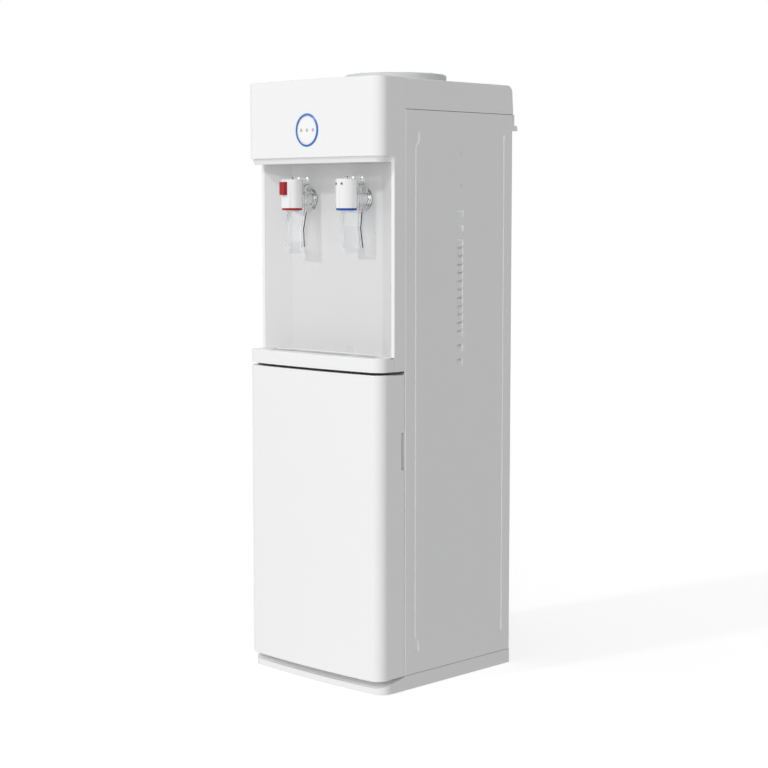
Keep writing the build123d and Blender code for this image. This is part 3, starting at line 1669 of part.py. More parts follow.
for name, place in zip(("hot_switch", "cold_switch"), switch_places):
    with BuildPart() as rocker:
        # Two flat wings in a shallow V, with the lower wing standing out
        with BuildSketch(Plane.YZ.offset(place[0] - rocker_width / 2)):
            with BuildLine():
                wing = back_face + switch_bezel_depth / 2
                Polyline(
                    (pin_y - rocker_pin_radius, switch_z - rocker_pin_radius),
                    (pin_y - rocker_pin_radius, switch_z + rocker_pin_radius),
                    (back_face, switch_z + rocker_reach),
                    (wing, switch_z + rocker_reach - rocker_play),
                    (wing, switch_z),
                    (wing + rocker_tip_rise, switch_z - rocker_reach + rocker_tip_inset),
                    (back_face, switch_z - rocker_reach),
                    close=True,
                )
            make_face()
        extrude(amount=rocker_width)
        with BuildSketch(Plane.YZ.offset(place[0])):
            with Locations((pin_y, switch_z)):
                Circle(rocker_pin_radius)
        extrude(amount=(switch_width - rocker_play) / 2, both=True)
    rocker.part.label = name
    export_step(rocker.part, f"parts/{name}.step")

with BuildPart() as cord_gland:
    add(level_rod(gland_side, gland_z, back_inner - gland_inside, back_face, gland_radius))
    add(level_rod(gland_side, gland_z, back_face, back_face + gland_flange, gland_flange_radius))
    chamfer(cord_gland.faces().sort_by(Axis.Y)[-1].edges(), gland_flange / 3)
    add(
        level_rod(gland_side, gland_z, back_inner - gland_inside, back_face + gland_flange, gland_bore),
        mode=Mode.SUBTRACT,
    )

with BuildPart() as drain_fitting:
    add(level_rod(drain_side, drain_z, back_inner, back_face + drain_reach, drain_radius))
    add(level_rod(drain_side, drain_z, back_face, back_face + drain_flange, drain_flange_radius))
    add(
        level_rod(drain_side, drain_z, back_inner, back_face + drain_reach, tube_bore),
        mode=Mode.SUBTRACT,
    )

with BuildPart() as drain_cap:
    cap_front = back_face + drain_flange + touch_gap
    cap_back = back_face + drain_reach + touch_gap + drain_cap_wall
    add(level_rod(drain_side, drain_z, cap_front, cap_back, drain_cap_radius))
    chamfer(drain_cap.faces().sort_by(Axis.Y)[-1].edges(), drain_cap_wall / 2)
    cap_floor = back_face + drain_reach + touch_gap
    add(
        level_rod(drain_side, drain_z, cap_front, cap_floor, drain_radius + touch_gap),
        mode=Mode.SUBTRACT,
    )

with BuildPart() as screws:
    # Side screws, flush in their dimples
    for side in (-1, 1):
        seat_x = side * (half_width - press_depth)
        for height in (screw_upper, screw_upper - side_screw_pitch):
            with BuildSketch(Plane.YZ.offset(seat_x)):
                with Locations((screw_y, height)):
                    Circle(screw_head_radius)
            extrude(amount=side * screw_head_height)
            with BuildSketch(Plane.YZ.offset(seat_x)):
                with Locations((screw_y, height)):
                    Circle(screw_shank_radius)
            extrude(amount=-side * screw_length)
    with BuildSketch(facing_front(panel_back)):
        with Locations(*rear_flange_screws):
            Circle(screw_shank_radius)
    extrude(amount=screw_length)
    with BuildSketch(facing_front(panel_back + screw_head_height)):
        with Locations(*rear_flange_screws):
            Circle(screw_head_radius)
    extrude(amount=screw_head_height)

# ---------------------------------------------------------------- files

finished = {
    "base_tray": base_tray,
    "feet": feet,
    "left_side_panel": left_side_panel,
    "right_side_panel": right_side_panel,
    "back_panel": back_panel,
    "top_cover": top_cover,
    "front_shell": front_shell,
    "niche_insert": niche_insert,
    "tray_shelf": tray_shelf,
    "drip_tray": drip_tray,
    "drip_grille": drip_grille,
    "door_outer": door_outer,
    "door_inner": door_inner,
    "door_gasket": door_gasket,
    "door_strike": door_strike,
    "magnetic_catch": magnetic_catch,
    "hinge_pins": hinge_pins,
    "storage_liner": storage_liner,
    "partition": partition,
    "bottle_collar": bottle_collar,
    "feed_probe": feed_probe,
    "cold_tank": cold_tank,
    "evaporator": evaporator,
    "cold_insulation": cold_insulation,
    "tank_frame": tank_frame,
    "hot_tank": hot_tank,
    "heater_band": heater_band,
    "hot_insulation": hot_insulation,
    "thermostats": thermostats,
    "cold_tube": cold_tube,
    "hot_tube": hot_tube,
    "hot_feed_tube": hot_feed_tube,
    "drain_tube": drain_tube,
    "drain_fitting": drain_fitting,
    "drain_cap": drain_cap,
    "child_lock_button": child_lock_button,
    "tap_nuts": tap_nuts,
    "lever_pins": lever_pins,
    "indicator_ring": indicator_ring,
    "indicator_lens": indicator_lens,
    "light_pipes": light_pipes,
    "control_board": control_board,
    "compressor": compressor,
    "compressor_grommets": compressor_grommets,
    "refrigerant_lines": refrigerant_lines,
    "condenser": condenser,
    "wall_spacers": wall_spacers,
    "switch_frame": switch_frame,
    "cord_gland": cord_gland,
    "screws": screws,
}
for label, piece in finished.items():
    piece.part.label = label
    export_step(piece.part, f"parts/{label}.step")
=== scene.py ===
"""Looks of a free-standing water cooler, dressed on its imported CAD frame.

White mouldings make the front and the top, painted steel the sides and the back. Two taps with
clear levers stand over a drip tray, a bottle collar sits on the top, and a door closes the
storage compartment. Lengths are metres in the frame of the CAD model: +Z up, the taps face -Y.
"""

import json
import logging
import math
from dataclasses import dataclass
from enum import Enum
from typing import Any, Callable, Iterable

import bmesh
import bpy
from mathutils import Matrix, Vector

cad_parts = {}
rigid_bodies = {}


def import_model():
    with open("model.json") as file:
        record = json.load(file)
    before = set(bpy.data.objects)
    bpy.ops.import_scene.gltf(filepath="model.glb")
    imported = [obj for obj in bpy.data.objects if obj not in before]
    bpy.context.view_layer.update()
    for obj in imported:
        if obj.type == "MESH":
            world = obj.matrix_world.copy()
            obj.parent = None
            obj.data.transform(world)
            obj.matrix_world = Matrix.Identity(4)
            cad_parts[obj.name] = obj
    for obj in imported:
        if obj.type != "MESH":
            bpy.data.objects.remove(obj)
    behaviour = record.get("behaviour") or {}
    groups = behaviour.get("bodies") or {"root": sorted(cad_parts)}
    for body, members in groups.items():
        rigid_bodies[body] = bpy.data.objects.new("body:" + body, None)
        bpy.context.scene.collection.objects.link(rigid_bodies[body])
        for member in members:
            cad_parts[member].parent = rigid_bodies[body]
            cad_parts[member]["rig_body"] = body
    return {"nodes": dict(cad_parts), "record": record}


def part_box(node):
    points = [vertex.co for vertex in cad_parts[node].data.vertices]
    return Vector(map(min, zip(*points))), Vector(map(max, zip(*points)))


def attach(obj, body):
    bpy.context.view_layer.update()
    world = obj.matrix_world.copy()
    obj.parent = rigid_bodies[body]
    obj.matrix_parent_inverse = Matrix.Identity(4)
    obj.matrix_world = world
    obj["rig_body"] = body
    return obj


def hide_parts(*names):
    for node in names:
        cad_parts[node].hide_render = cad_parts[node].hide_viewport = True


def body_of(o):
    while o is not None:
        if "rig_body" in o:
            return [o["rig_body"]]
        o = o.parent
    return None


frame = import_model()

MM = 0.001
CABINET = "cabinet"

log = logging.getLogger("cooler")

Colour = tuple[float, float, float]


# ---------------------------------------------------------------- shader arithmetic


class Flow:
    """A shader value that takes part in sums as a number does."""

    def __init__(self, shop: "NodeShop", socket: bpy.types.NodeSocket) -> None:
        """Wraps one output socket.

        Args:
            shop: The node shop that adds nodes to the socket's tree.
            socket: The output socket that carries the value.
        """
        self.shop = shop
        self.socket = socket

    def _math(self, operation: str, first: "Flow | float", second: "Flow | float") -> "Flow":
        """Adds one Math node.

        Args:
            operation: The node's operation.
            first: The left operand.
            second: The right operand.

        Returns:
            The node's result.
        """
        return self.shop.flow("ShaderNodeMath", {"operation": operation}, {0: first, 1: second})

    def __add__(self, other: "Flow | float") -> "Flow":
        """Returns self + other."""
        return self._math("ADD", self, other)

    __radd__ = __add__

    def __sub__(self, other: "Flow | float") -> "Flow":
        """Returns self - other."""
        return self._math("SUBTRACT", self, other)

    def __rsub__(self, other: "Flow | float") -> "Flow":
        """Returns other - self."""
        return self._math("SUBTRACT", other, self)

    def __mul__(self, other: "Flow | float") -> "Flow":
        """Returns self * other."""
        return self._math("MULTIPLY", self, other)

    __rmul__ = __mul__

    def above(self, limit: float) -> "Flow":
        """Returns 1 where the value is over limit, and 0 elsewhere."""
        return self._math("GREATER_THAN", self, limit)


class NodeShop:
    """Adds nodes to one tree, each from its type, its settings and its inputs."""

    def __init__(self, tree: bpy.types.NodeTree) -> None:
        """Empties the tree.

        Args:
            tree: The tree of a material or of the world.
        """
        tree.nodes.clear()
        self.tree = tree

    def node(
        self,
        kind: str,
        settings: dict[str, Any] | None = None,
        inputs: dict[str | int, Any] | None = None,
    ) -> bpy.types.Node:
        """Adds a node.

        Args:
            kind: The node's type name.
            settings: Properties of the node, set before its sockets.
            inputs: Values, flows or sockets by input name or number.

        Returns:
            The new node.
        """
        made = self.tree.nodes.new(kind)
        for name, value in (settings or {}).items():
            setattr(made, name, value)
        for name, value in (inputs or {}).items():
            if isinstance(value, Flow):
                self.tree.links.new(value.socket, made.inputs[name])
            elif isinstance(value, bpy.types.NodeSocket):
                self.tree.links.new(value, made.inputs[name])
            else:
                made.inputs[name].default_value = value
        return made

    def flow(
        self,
        kind: str,
        settings: dict[str, Any] | None = None,
        inputs: dict[str | int, Any] | None = None,
        output: str | int = 0,
    ) -> Flow:
        """Adds a node and wraps one of its outputs.

        Args:
            kind: The node's type name.
            settings: Properties of the node.
            inputs: Values, flows or sockets by input name or number.
            output: The output to wrap.

        Returns:
            The output as a flow.
        """
        return Flow(self, self.node(kind, settings, inputs).outputs[output])

    def places(self, stretch: tuple[float, float, float] = (1, 1, 1)) -> Flow:
        """Gives the object's own coordinates, in metres.

        Args:
            stretch: Scale along each axis, for a grain that runs one way.

        Returns:
            The coordinates.
        """
        found = self.flow("ShaderNodeTexCoord", output="Object")
        return self.flow("ShaderNodeMapping", inputs={"Vector": found, "Scale": stretch})

    def noise(self, places: Flow, size: float, detail: float = 2.0) -> Flow:
        """Gives smooth noise from 0 to 1.

        Args:
            places: The coordinates.
            size: The size of its patches, in metres.
            detail: The number of finer layers.

        Returns:
            The noise value.
        """
        return self.flow(
            "ShaderNodeTexNoise", None, {"Vector": places, "Scale": 1 / size, "Detail": detail}
        )

    def blend(self, factor: Flow, low: Colour, high: Colour) -> Flow:
        """Mixes two colours.

        Args:
            factor: 0 gives low and 1 gives high.
            low: The first colour.
            high: The second colour.

        Returns:
            The mixed colour.
        """
        return self.flow(
            "ShaderNodeMix",
            {"data_type": "RGBA"},
            {0: factor, 6: (*low, 1), 7: (*high, 1)},
            output=2,
        )


# ---------------------------------------------------------------- finishes


class Grain(Enum):
    """The fine relief of a surface."""

    SATIN = "spark-eroded mould grain"
    PEEL = "orange peel of powder coat"
    BRUSHED = "fine lines that run one way"
    CELLS = "cut closed cells"
    SPANGLE = "zinc crystals"


@dataclass(frozen=True)
class Finish:
    """One finish of the record, with its colour, gloss and relief.

    Attributes:
        slot: The record's material slot.
        colour: The base colour, linear.
        roughness: The mean roughness.
        grain: The kind of fine relief.
        grain_size: The size of one grain, in metres.
        grain_depth: The height of the relief, in metres.
        drift: How far the colour wanders, as a share.
        drift_size: The size of the colour's patches, in metres.
        gloss_drift: How far the roughness wanders.
        metallic: 1 for bare metal.
        coat: The weight of a clear coat.
        clear: The weight of transmission, 1 for clear plastic.
        ior: The index of refraction.
        shine: The level of the plain gloss, 0.5 as a rule.
    """

    slot: str
    colour: Colour
    roughness: float
    grain: Grain = Grain.SATIN
    grain_size: float = 0.9 * MM
    grain_depth: float = 0.004 * MM
    drift: float = 0.006
    drift_size: float = 0.09
    gloss_drift: float = 0.05
    metallic: float = 0.0
    coat: float = 0.0
    clear: float = 0.0
    ior: float = 1.49
    shine: float = 0.5

    def _relief(self, shop: NodeShop) -> Flow:
        """Builds the height of the grain.

        Args:
            shop: The material's node shop.

        Returns:
            The height, from 0 to 1.
        """
        if self.grain is Grain.BRUSHED:
            return shop.noise(shop.places((1, 1, 0.03)), self.grain_size, 3.0)
        if self.grain is Grain.PEEL:
            places = shop.places()
            wide = shop.noise(places, self.grain_size, 1.0)
            return 0.7 * wide + 0.3 * shop.noise(places, self.grain_size / 3, 1.0)
        if self.grain in (Grain.CELLS, Grain.SPANGLE):
            return shop.flow(
                "ShaderNodeTexVoronoi",
                None,
                {"Vector": shop.places(), "Scale": 1 / self.grain_size},
                output="Distance",
            )
        return shop.noise(shop.places(), self.grain_size, 2.0)

    def _patches(self, shop: NodeShop) -> Flow:
        """Builds the slow drift of colour and gloss.

        Args:
            shop: The material's node shop.

        Returns:
            A value from 0 to 1.
        """
        if self.grain is Grain.SPANGLE:
            cells = shop.flow(
                "ShaderNodeTexVoronoi",
                None,
                {"Vector": shop.places(), "Scale": 1 / self.grain_size},
                output="Color",
            )
            return shop.flow("ShaderNodeSeparateColor", None, {"Color": cells})
        return shop.noise(shop.places(), self.drift_size, 3.0)

    def material(self) -> bpy.types.Material:
        """Builds the finish as a material.

        Returns:
            The material, named after its slot.
        """
        made = bpy.data.materials.new(self.slot)
        made.use_nodes = True
        shop = NodeShop(made.node_tree)
        patches = self._patches(shop)
        low, high = (
            tuple(min(1.0, part * (1 + turn * self.drift)) for part in self.colour)
            for turn in (-1, 1)
        )
        bump = shop.flow(
            "ShaderNodeBump", None, {"Height": self._relief(shop), "Distance": self.grain_depth}
        )
        shader = shop.node(
            "ShaderNodeBsdfPrincipled",
            None,
            {
                "Base Color": shop.blend(patches, low, high),
                "Roughness": self.roughness + self.gloss_drift * (patches - 0.5),
                "Metallic": self.metallic,
                "Coat Weight": self.coat,
                "Coat Roughness": COAT_ROUGHNESS,
                "Transmission Weight": self.clear,
                "IOR": self.ior,
                "Specular IOR Level": self.shine,
                "Normal": bump,
            },
        )
        shop.node("ShaderNodeOutputMaterial", None, {"Surface": shader.outputs[0]})
        return made


COAT_ROUGHNESS = 0.08
WHITE: Colour = (0.86, 0.86, 0.862)
PAINT_WHITE: Colour = (0.85, 0.852, 0.855)

FINISHES: tuple[Finish, ...] = (
    Finish("shell_white", WHITE, 0.30, coat=0.15),
    Finish("cover_white", WHITE, 0.38),
    Finish("base_white", (0.84, 0.84, 0.842), 0.42),
    Finish("side_paint", PAINT_WHITE, 0.40, Grain.PEEL, 1.6 * MM, 0.010 * MM),
    # Darker than the shell's white: this paints part of the recess's shade into its colour, on top of
    # the shade that the lamps cast.
    Finish("niche_white", (0.70, 0.70, 0.705), 0.28),
    Finish("grille_white", (0.58, 0.58, 0.585), 0.34),
    Finish("liner_plastic", (0.80, 0.81, 0.82), 0.30, grain_size=2.5 * MM),
    Finish("tap_white", (0.84, 0.84, 0.845), 0.18, coat=0.3, grain_depth=0.002 * MM),
    Finish("collar_grey", (0.66, 0.665, 0.67), 0.42),
    Finish("lever_clear", (0.97, 0.98, 0.985), 0.03, drift=0.0, gloss_drift=0.02, clear=1.0),
    # Painted refraction: a dark colour for the bevels of the clear levers and flanges, standing for the
    # dark lines that refraction shows in clear plastic.
    Finish("painted_refraction_line", (0.14, 0.15, 0.16), 0.12, gloss_drift=0.02, shine=0.3),
    Finish("lock_red", (0.38, 0.016, 0.018), 0.34, drift=0.03, shine=0.2),
    Finish("ring_red", (0.38, 0.014, 0.018), 0.34, drift=0.03, shine=0.2),
    Finish("ring_blue", (0.012, 0.085, 0.42), 0.34, drift=0.03, shine=0.2),
    Finish("indicator_blue", (0.030, 0.17, 0.56), 0.30, drift=0.03, shine=0.3),
    Finish("lens_white", (0.88, 0.88, 0.885), 0.16, coat=0.4, grain_depth=0.001 * MM),
    Finish("light_pipe", (0.50, 0.48, 0.49), 0.25, drift=0.04),
    Finish("stem_dark", (0.10, 0.10, 0.11), 0.5),
    Finish("soft_rubber", (0.05, 0.05, 0.052), 0.72, drift=0.08, drift_size=0.02),
    Finish("dark_plastic", (0.035, 0.035, 0.038), 0.5, drift=0.05),
    Finish("switch_black", (0.022, 0.022, 0.024), 0.34, drift=0.05),
    Finish("switch_green", (0.02, 0.24, 0.07), 0.3, drift=0.03),
    Finish("silicone", (0.72, 0.73, 0.74), 0.42, drift=0.03, drift_size=0.02),
    Finish("foam", (0.80, 0.76, 0.66), 0.9, Grain.CELLS, 2.2 * MM, 0.25 * MM, 0.05, 0.03),
    Finish(
        "bare_steel", (0.56, 0.57, 0.58), 0.3, Grain.BRUSHED, 0.5 * MM, 0.003 * MM, metallic=1.0
    ),
    Finish(
        "stainless", (0.60, 0.59, 0.58), 0.26, Grain.BRUSHED, 0.4 * MM, 0.003 * MM, metallic=1.0
    ),
    Finish(
        "zinc_steel", (0.60, 0.62, 0.64), 0.42, Grain.SPANGLE, 6 * MM, 0.002 * MM, 0.12,
        gloss_drift=0.2, metallic=1.0,
    ),
    Finish(
        "aluminium_sleeve", (0.70, 0.71, 0.72), 0.36, Grain.BRUSHED, 0.6 * MM, 0.004 * MM,
        metallic=1.0,
    ),
    Finish("copper", (0.72, 0.36, 0.22), 0.3, drift=0.12, drift_size=0.03, metallic=1.0),
    Finish(
        "black_paint", (0.018, 0.018, 0.02), 0.38, Grain.PEEL, 1.2 * MM, 0.012 * MM, 0.08
    ),
    Finish("board_green", (0.02, 0.16, 0.06), 0.4, drift=0.3, drift_size=3 * MM),
)


class Palette:
    """All finishes as materials, and which slot each CAD node has."""

    def __init__(self) -> None:
        """Builds the materials and gives every CAD node its own."""
        self.materials = {finish.slot: finish.material() for finish in FINISHES}
        self.slots = {
            part["node"]: part["material_slot"] for part in frame["record"]["subparts"]
        }
        for name, node in frame["nodes"].items():
            self.dress(node, self.slots[name])

    def dress(self, piece: bpy.types.Object, slot: str) -> None:
        """Gives a piece one finish all over.

        Args:
            piece: The object.
            slot: The record's material slot.
        """
        piece.data.materials.clear()
        piece.data.materials.append(self.materials[slot])


# ---------------------------------------------------------------- mesh workshop


@dataclass(frozen=True)
class EdgeBreak:
    """How the sharp edges of a piece are broken.

    Attributes:
        width: The width of the bevel, in metres; 0 leaves the edges sharp.
        segments: The number of its steps.
        sharp: The least angle between faces that counts as an edge.
    """

    width: float = 0.4 * MM
    segments: int = 2
    sharp: float = math.radians(30)


FINE = EdgeBreak(0.25 * MM)
NORMAL = EdgeBreak()
SOFT = EdgeBreak(0.8 * MM, 3)
KEEP = EdgeBreak(0.0)

WELD = 0.002 * MM
FLAT = math.radians(0.2)
SHADING_MARGIN = math.radians(8)
BACKWARD = 0.9  # least part along +Y of the normal of a face that looks back
Y_AXIS = Vector((0, 1, 0))
Z_AXIS = Vector((0, 0, 1))


class Workshop:
    """Turns meshes into finished pieces that ride on their bodies."""

    def __init__(self, palette: Palette) -> None:
        """Keeps the palette.

        Args:
            palette: The finishes.
        """
        self.palette = palette

    def finish(
        self,
        shape: bmesh.types.BMesh,
        name: str,
        body: str,
        slot: str,
        replaces: Iterable[str] = (),
        edge: EdgeBreak = NORMAL,
        painted_edge_slot: str | None = None,
    ) -> bpy.types.Object:
        """Makes a shape a dressed piece of the scene.

        Args:
            shape: The mesh, in place; it is freed.
            name: The piece's name.
            body: The CAD body that it rides on.
            slot: The material slot of its finish.
            replaces: The CAD nodes that it stands for.
            edge: How its sharp edges are shaded.
            painted_edge_slot: The finish of its broken edges, if it isn't the piece's own; on the clear
                pieces this is a painted dark line that stands for refraction.

        Returns:
            The piece.
        """
        mesh = bpy.data.meshes.new(name)
        shape.to_mesh(mesh)
        shape.free()
        mesh.shade_smooth()
        mesh.set_sharp_from_angle(angle=edge.sharp + SHADING_MARGIN)
        piece = bpy.data.objects.new(name, mesh)
        bpy.context.scene.collection.objects.link(piece)
        weighted = piece.modifiers.new("weighted_normals", "WEIGHTED_NORMAL")
        weighted.keep_sharp = True
        self.palette.dress(piece, slot)
        if painted_edge_slot:
            mesh.materials.append(self.palette.materials[painted_edge_slot])
        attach(piece, body)
        for node in replaces:
            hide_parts(node)
        log.info("%s: %d faces, rides on %s", name, len(mesh.polygons), body)
        return piece

    def welded(self, node: str) -> bmesh.types.BMesh:
        """Copies a CAD node's mesh, with its triangles joined into whole faces.

        Args:
            node: The CAD node.

        Returns:
            The copy.
        """
        shape = bmesh.new()
        shape.from_mesh(frame["nodes"][node].data)
        bmesh.ops.remove_doubles(shape, verts=shape.verts, dist=WELD)
        bmesh.ops.dissolve_limit(
            shape, angle_limit=FLAT, verts=shape.verts, edges=shape.edges, delimit={"NORMAL"}
        )
        return shape

    def break_edges(
        self, shape: bmesh.types.BMesh, edge: EdgeBreak, material: int = 0
    ) -> None:
        """Bevels the sharp edges of a shape.

        Args:
            shape: The mesh.
            edge: The bevel's size.
            material: The number of the bevels' material on the piece.
        """
        if not edge.width:
            return
        sharp = [
            found
            for found in shape.edges
            if found.is_manifold
            and found.calc_face_angle(0.0) > edge.sharp
            and found.calc_length() > edge.width
        ]
        broken = bmesh.ops.bevel(
            shape,
            geom=sharp,
            offset=edge.width,
            offset_type="OFFSET",
            segments=edge.segments,
            profile=0.5,
            affect="EDGES",
            clamp_overlap=True,
            material=-1,
        )
        for face in broken["faces"]:
            face.material_index = material

    def refine(
        self,
        node: str,
        edge: EdgeBreak = NORMAL,
        alter: Callable[[bmesh.types.BMesh], None] | None = None,
        painted_edge_slot: str | None = None,
    ) -> bpy.types.Object:
        """Stands a finished copy with broken edges in a CAD node's place.

        Args:
            node: The CAD node.
            edge: How its edges are broken.
            alter: What is worked into the mesh before its edges are broken.
            painted_edge_slot: The finish of its broken edges, if it isn't the node's own; on the clear
                pieces this is a painted dark line that stands for refraction.

        Returns:
            The piece.
        """
        shape = self.welded(node)
        if alter:
            alter(shape)
        self.break_edges(shape, edge, 1 if painted_edge_slot else 0)
        body = body_of(frame["nodes"][node])[0]
        slot = self.palette.slots[node]
        return self.finish(shape, node + "_skin", body, slot, (node,), edge, painted_edge_slot)


def turned(
    outline: Iterable[tuple[float, float]], centre: Vector, axis: Vector, steps: int = 72
) -> bmesh.types.BMesh:
    """Turns a closed outline about an axis.

    Args:
        outline: Pairs of radius and place along the axis, in metres, in order.
        centre: A point on the axis.
        axis: The axis, along Y or Z.
        steps: The number of steps round.

    Returns:
        The closed ring or disc.
    """
    shape = bmesh.new()
    side = Vector((1, 0, 0))
    points = [shape.verts.new(centre + side * radius + axis * rise) for radius, rise in outline]
    loop = [shape.edges.new((a, b)) for a, b in zip(points, points[1:] + points[:1])]
    bmesh.ops.spin(
        shape,
        geom=points + loop,
        cent=centre,
        axis=axis,
        angle=math.tau,
        steps=steps,
        use_merge=True,
    )
    bmesh.ops.remove_doubles(shape, verts=shape.verts, dist=WELD)
    bmesh.ops.recalc_face_normals(shape, faces=shape.faces)
    return shape


def rod(
    shape: bmesh.types.BMesh, start: Vector, end: Vector, radius: float, sides: int = 32
) -> list[bmesh.types.BMVert]:
    """Adds a round rod to a shape.

    Args:
        shape: The mesh that gets the rod.
        start: The middle of one end.
        end: The middle of the other end.
        radius: The rod's radius.
        sides: The number of its sides.

    Returns:
        The rod's vertices.
    """
    along = end - start
    place = Matrix.Translation((start + end) / 2) @ along.to_track_quat("Z", "Y").to_matrix().to_4x4()
    made = bmesh.ops.create_cone(
        shape,
        cap_ends=True,
        segments=sides,
        radius1=radius,
        radius2=radius,
        depth=along.length,
        matrix=place,
    )
    return made["verts"]


def islands(node: str) -> list[tuple[Vector, Vector]]:
    """Finds the separate solids of a CAD node.

    Args:
        node: The CAD node.

    Returns:
        The lowest and highest corner of each solid.
    """
    shape = bmesh.new()
    shape.from_mesh(frame["nodes"][node].data)
    bmesh.ops.remove_doubles(shape, verts=shape.verts, dist=WELD)
    unseen = set(shape.verts)
    found = []
    while unseen:
        group, front = set(), [unseen.pop()]
        while front:
            vert = front.pop()
            group.add(vert)
            for link in vert.link_edges:
                other = link.other_vert(vert)
                if other in unseen:
                    unseen.discard(other)
                    front.append(other)
        corners = [
            Vector(pick(vert.co[axis] for vert in group) for axis in range(3)) for pick in (min, max)
        ]
        found.append((corners[0], corners[1]))
    shape.free()
    return sorted(found, key=lambda pair: tuple(round(part, 5) for part in pair[0]))


# ---------------------------------------------------------------- the cooler's sub-assemblies


@dataclass
class Casing:
    """The steel skin, the base, the feet and the top cover.

    Attributes:
        shop: The workshop.
        panel_edge: The bend of the pressed steel.
        seam: The open seam above and below each side panel.
        louvres: Setback of the louvres' middle from the panel's front, their lower and upper end.
        blind: Width, thickness and depth below the surface of the strip behind the louvres.
        foot_groove: The depth and width of the groove under each foot.
        foot_ring: The radius of that groove's middle, as a share of the foot's.
        head_height: The height of a screw's head.
        head_flat: The rounded border of a head, as a share of its radius.
        core: The radius of a screw's thread, as a share of its head's.
        slot_width: The width of the cross on a screw's head.
        slot_reach: Its length, as a share of the head's radius.
        slot_depth: The height of the cross that stands for the recess.
        slot_sink: The share of that height by which its middle lies below the head's face.
        dome: The rise of a screw's head at its middle.
    """

    shop: Workshop
    panel_edge: EdgeBreak = EdgeBreak(0.45 * MM, 2)
    seam: float = 0.8 * MM
    louvres: tuple[float, float, float] = (128.5 * MM, 518.0 * MM, 772.0 * MM)
    blind: tuple[float, float, float] = (14.0 * MM, 0.5 * MM, 3.6 * MM)
    foot_groove: float = 1.0 * MM
    foot_ring: float = 0.55
    head_height: float = 1.2 * MM
    head_flat: float = 0.3
    core: float = 0.6
    slot_width: float = 0.9 * MM
    slot_reach: float = 1.1
    slot_depth: float = 0.7 * MM
    slot_sink: float = 0.45
    dome: float = 0.25 * MM

    def build(self) -> None:
        """Dresses the skin, the base and the top."""
        for name in ("left_side_panel", "right_side_panel"):
            self.shop.refine(name, self.panel_edge, self.open_seams)
            self.blinds(name)
        self.shop.refine("back_panel", FINE)
        self.shop.refine("top_cover", SOFT)
        self.shop.refine("base_tray", EdgeBreak(0.3 * MM, 2))
        self.shop.refine("wall_spacers", NORMAL)
        self.feet()
        self.screws()

    def open_seams(self, shape: bmesh.types.BMesh) -> None:
        """Draws a side panel's two ends in, so that thin dark seams show there.

        Args:
            shape: The panel's mesh.
        """
        bottom = min(vert.co.z for vert in shape.verts)
        top = max(vert.co.z for vert in shape.verts)
        for vert in shape.verts:
            if vert.co.z < bottom + WELD:
                vert.co.z += self.seam
            elif vert.co.z > top - WELD:
                vert.co.z -= self.seam

    def blinds(self, name: str) -> None:
        """Builds the strip behind a panel's louvres, which hides the dark inside.

        Args:
            name: The panel's node.
        """
        low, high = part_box(name)
        setback, bottom, top = self.louvres
        width, thickness, depth = self.blind
        side = math.copysign(1, low.x + high.x)
        face = high.x if side > 0 else low.x
        shape = bmesh.new()
        made = bmesh.ops.create_cube(shape, size=1.0)["verts"]
        centre = Vector((face - side * depth, low.y + setback, (bottom + top) / 2))
        size = Matrix.Diagonal((thickness, width, top - bottom, 1))
        bmesh.ops.transform(shape, matrix=Matrix.Translation(centre) @ size, verts=made)
        self.shop.finish(shape, name + "_blind", CABINET, "side_paint", (), KEEP)

    def feet(self) -> None:
        """Builds the four rubber feet, each with a grip groove underneath."""
        whole = bmesh.new()
        for low, high in islands("feet"):
            radius = (high.x - low.x) / 2
            height = high.z - low.z
            groove = self.foot_groove
            ring = radius * self.foot_ring
            outline = [
                (0, groove), (ring - groove, groove), (ring, 0), (radius - groove, 0),
                (radius, groove), (radius, height), (0, height),
            ]
            centre = Vector(((low.x + high.x) / 2, (low.y + high.y) / 2, low.z))
            self.merge(whole, turned(outline, centre, Z_AXIS, 48))
        self.shop.finish(whole, "feet_skin", CABINET, "soft_rubber", ("feet",))

    def screws(self) -> None:
        """Builds the casing's screws: painted ones on the sides, zinc ones on the back."""
        sides, back = bmesh.new(), bmesh.new()
        for low, high in islands("screws"):
            middle = (low + high) / 2
            head = (high.z - low.z) / 2
            if high.x - low.x > high.y - low.y:
                side = math.copysign(1, middle.x)
                top = Vector((high.x if side > 0 else low.x, middle.y, middle.z))
                self.merge(sides, self.one_screw(top, Vector((side, 0, 0)), head, high.x - low.x))
            else:
                top = Vector((middle.x, high.y, middle.z))
                self.merge(back, self.one_screw(top, Y_AXIS.copy(), head, high.y - low.y))
        self.shop.finish(sides, "side_screws_skin", CABINET, "side_paint", ("screws",), FINE)
        self.shop.finish(back, "back_screws_skin", CABINET, "zinc_steel", ("screws",), FINE)

    def one_screw(self, top: Vector, out: Vector, head: float, length: float) -> bmesh.types.BMesh:
        """Builds one screw.

        Args:
            top: The middle of the head's outer face.
            out: The direction in which the head faces.
            head: The head's radius.
            length: The screw's whole length.

        Returns:
            The screw's mesh.
        """
        screw = bmesh.new()
        rod(screw, top - out * self.head_height, top - out * self.dome, head, 24)
        face = max(screw.faces, key=lambda found: found.calc_center_median().dot(out))
        bmesh.ops.inset_region(screw, faces=[face], thickness=head * self.head_flat, depth=self.dome)
        rod(screw, top - out * length, top - out * self.head_height, head * self.core, 16)
        across = Z_AXIS
        other = out.cross(across)
        for along, wide in ((across, other), (other, across)):
            made = bmesh.ops.create_cube(screw, size=1.0)["verts"]
            turn = Matrix((along, wide, out)).transposed().to_4x4()
            size = Matrix.Diagonal((head * self.slot_reach, self.slot_width, self.slot_depth, 1))
            place = Matrix.Translation(top - out * (self.slot_depth * self.slot_sink))
            bmesh.ops.transform(screw, matrix=place @ turn @ size, verts=made)
        bmesh.ops.recalc_face_normals(screw, faces=screw.faces)
        return screw

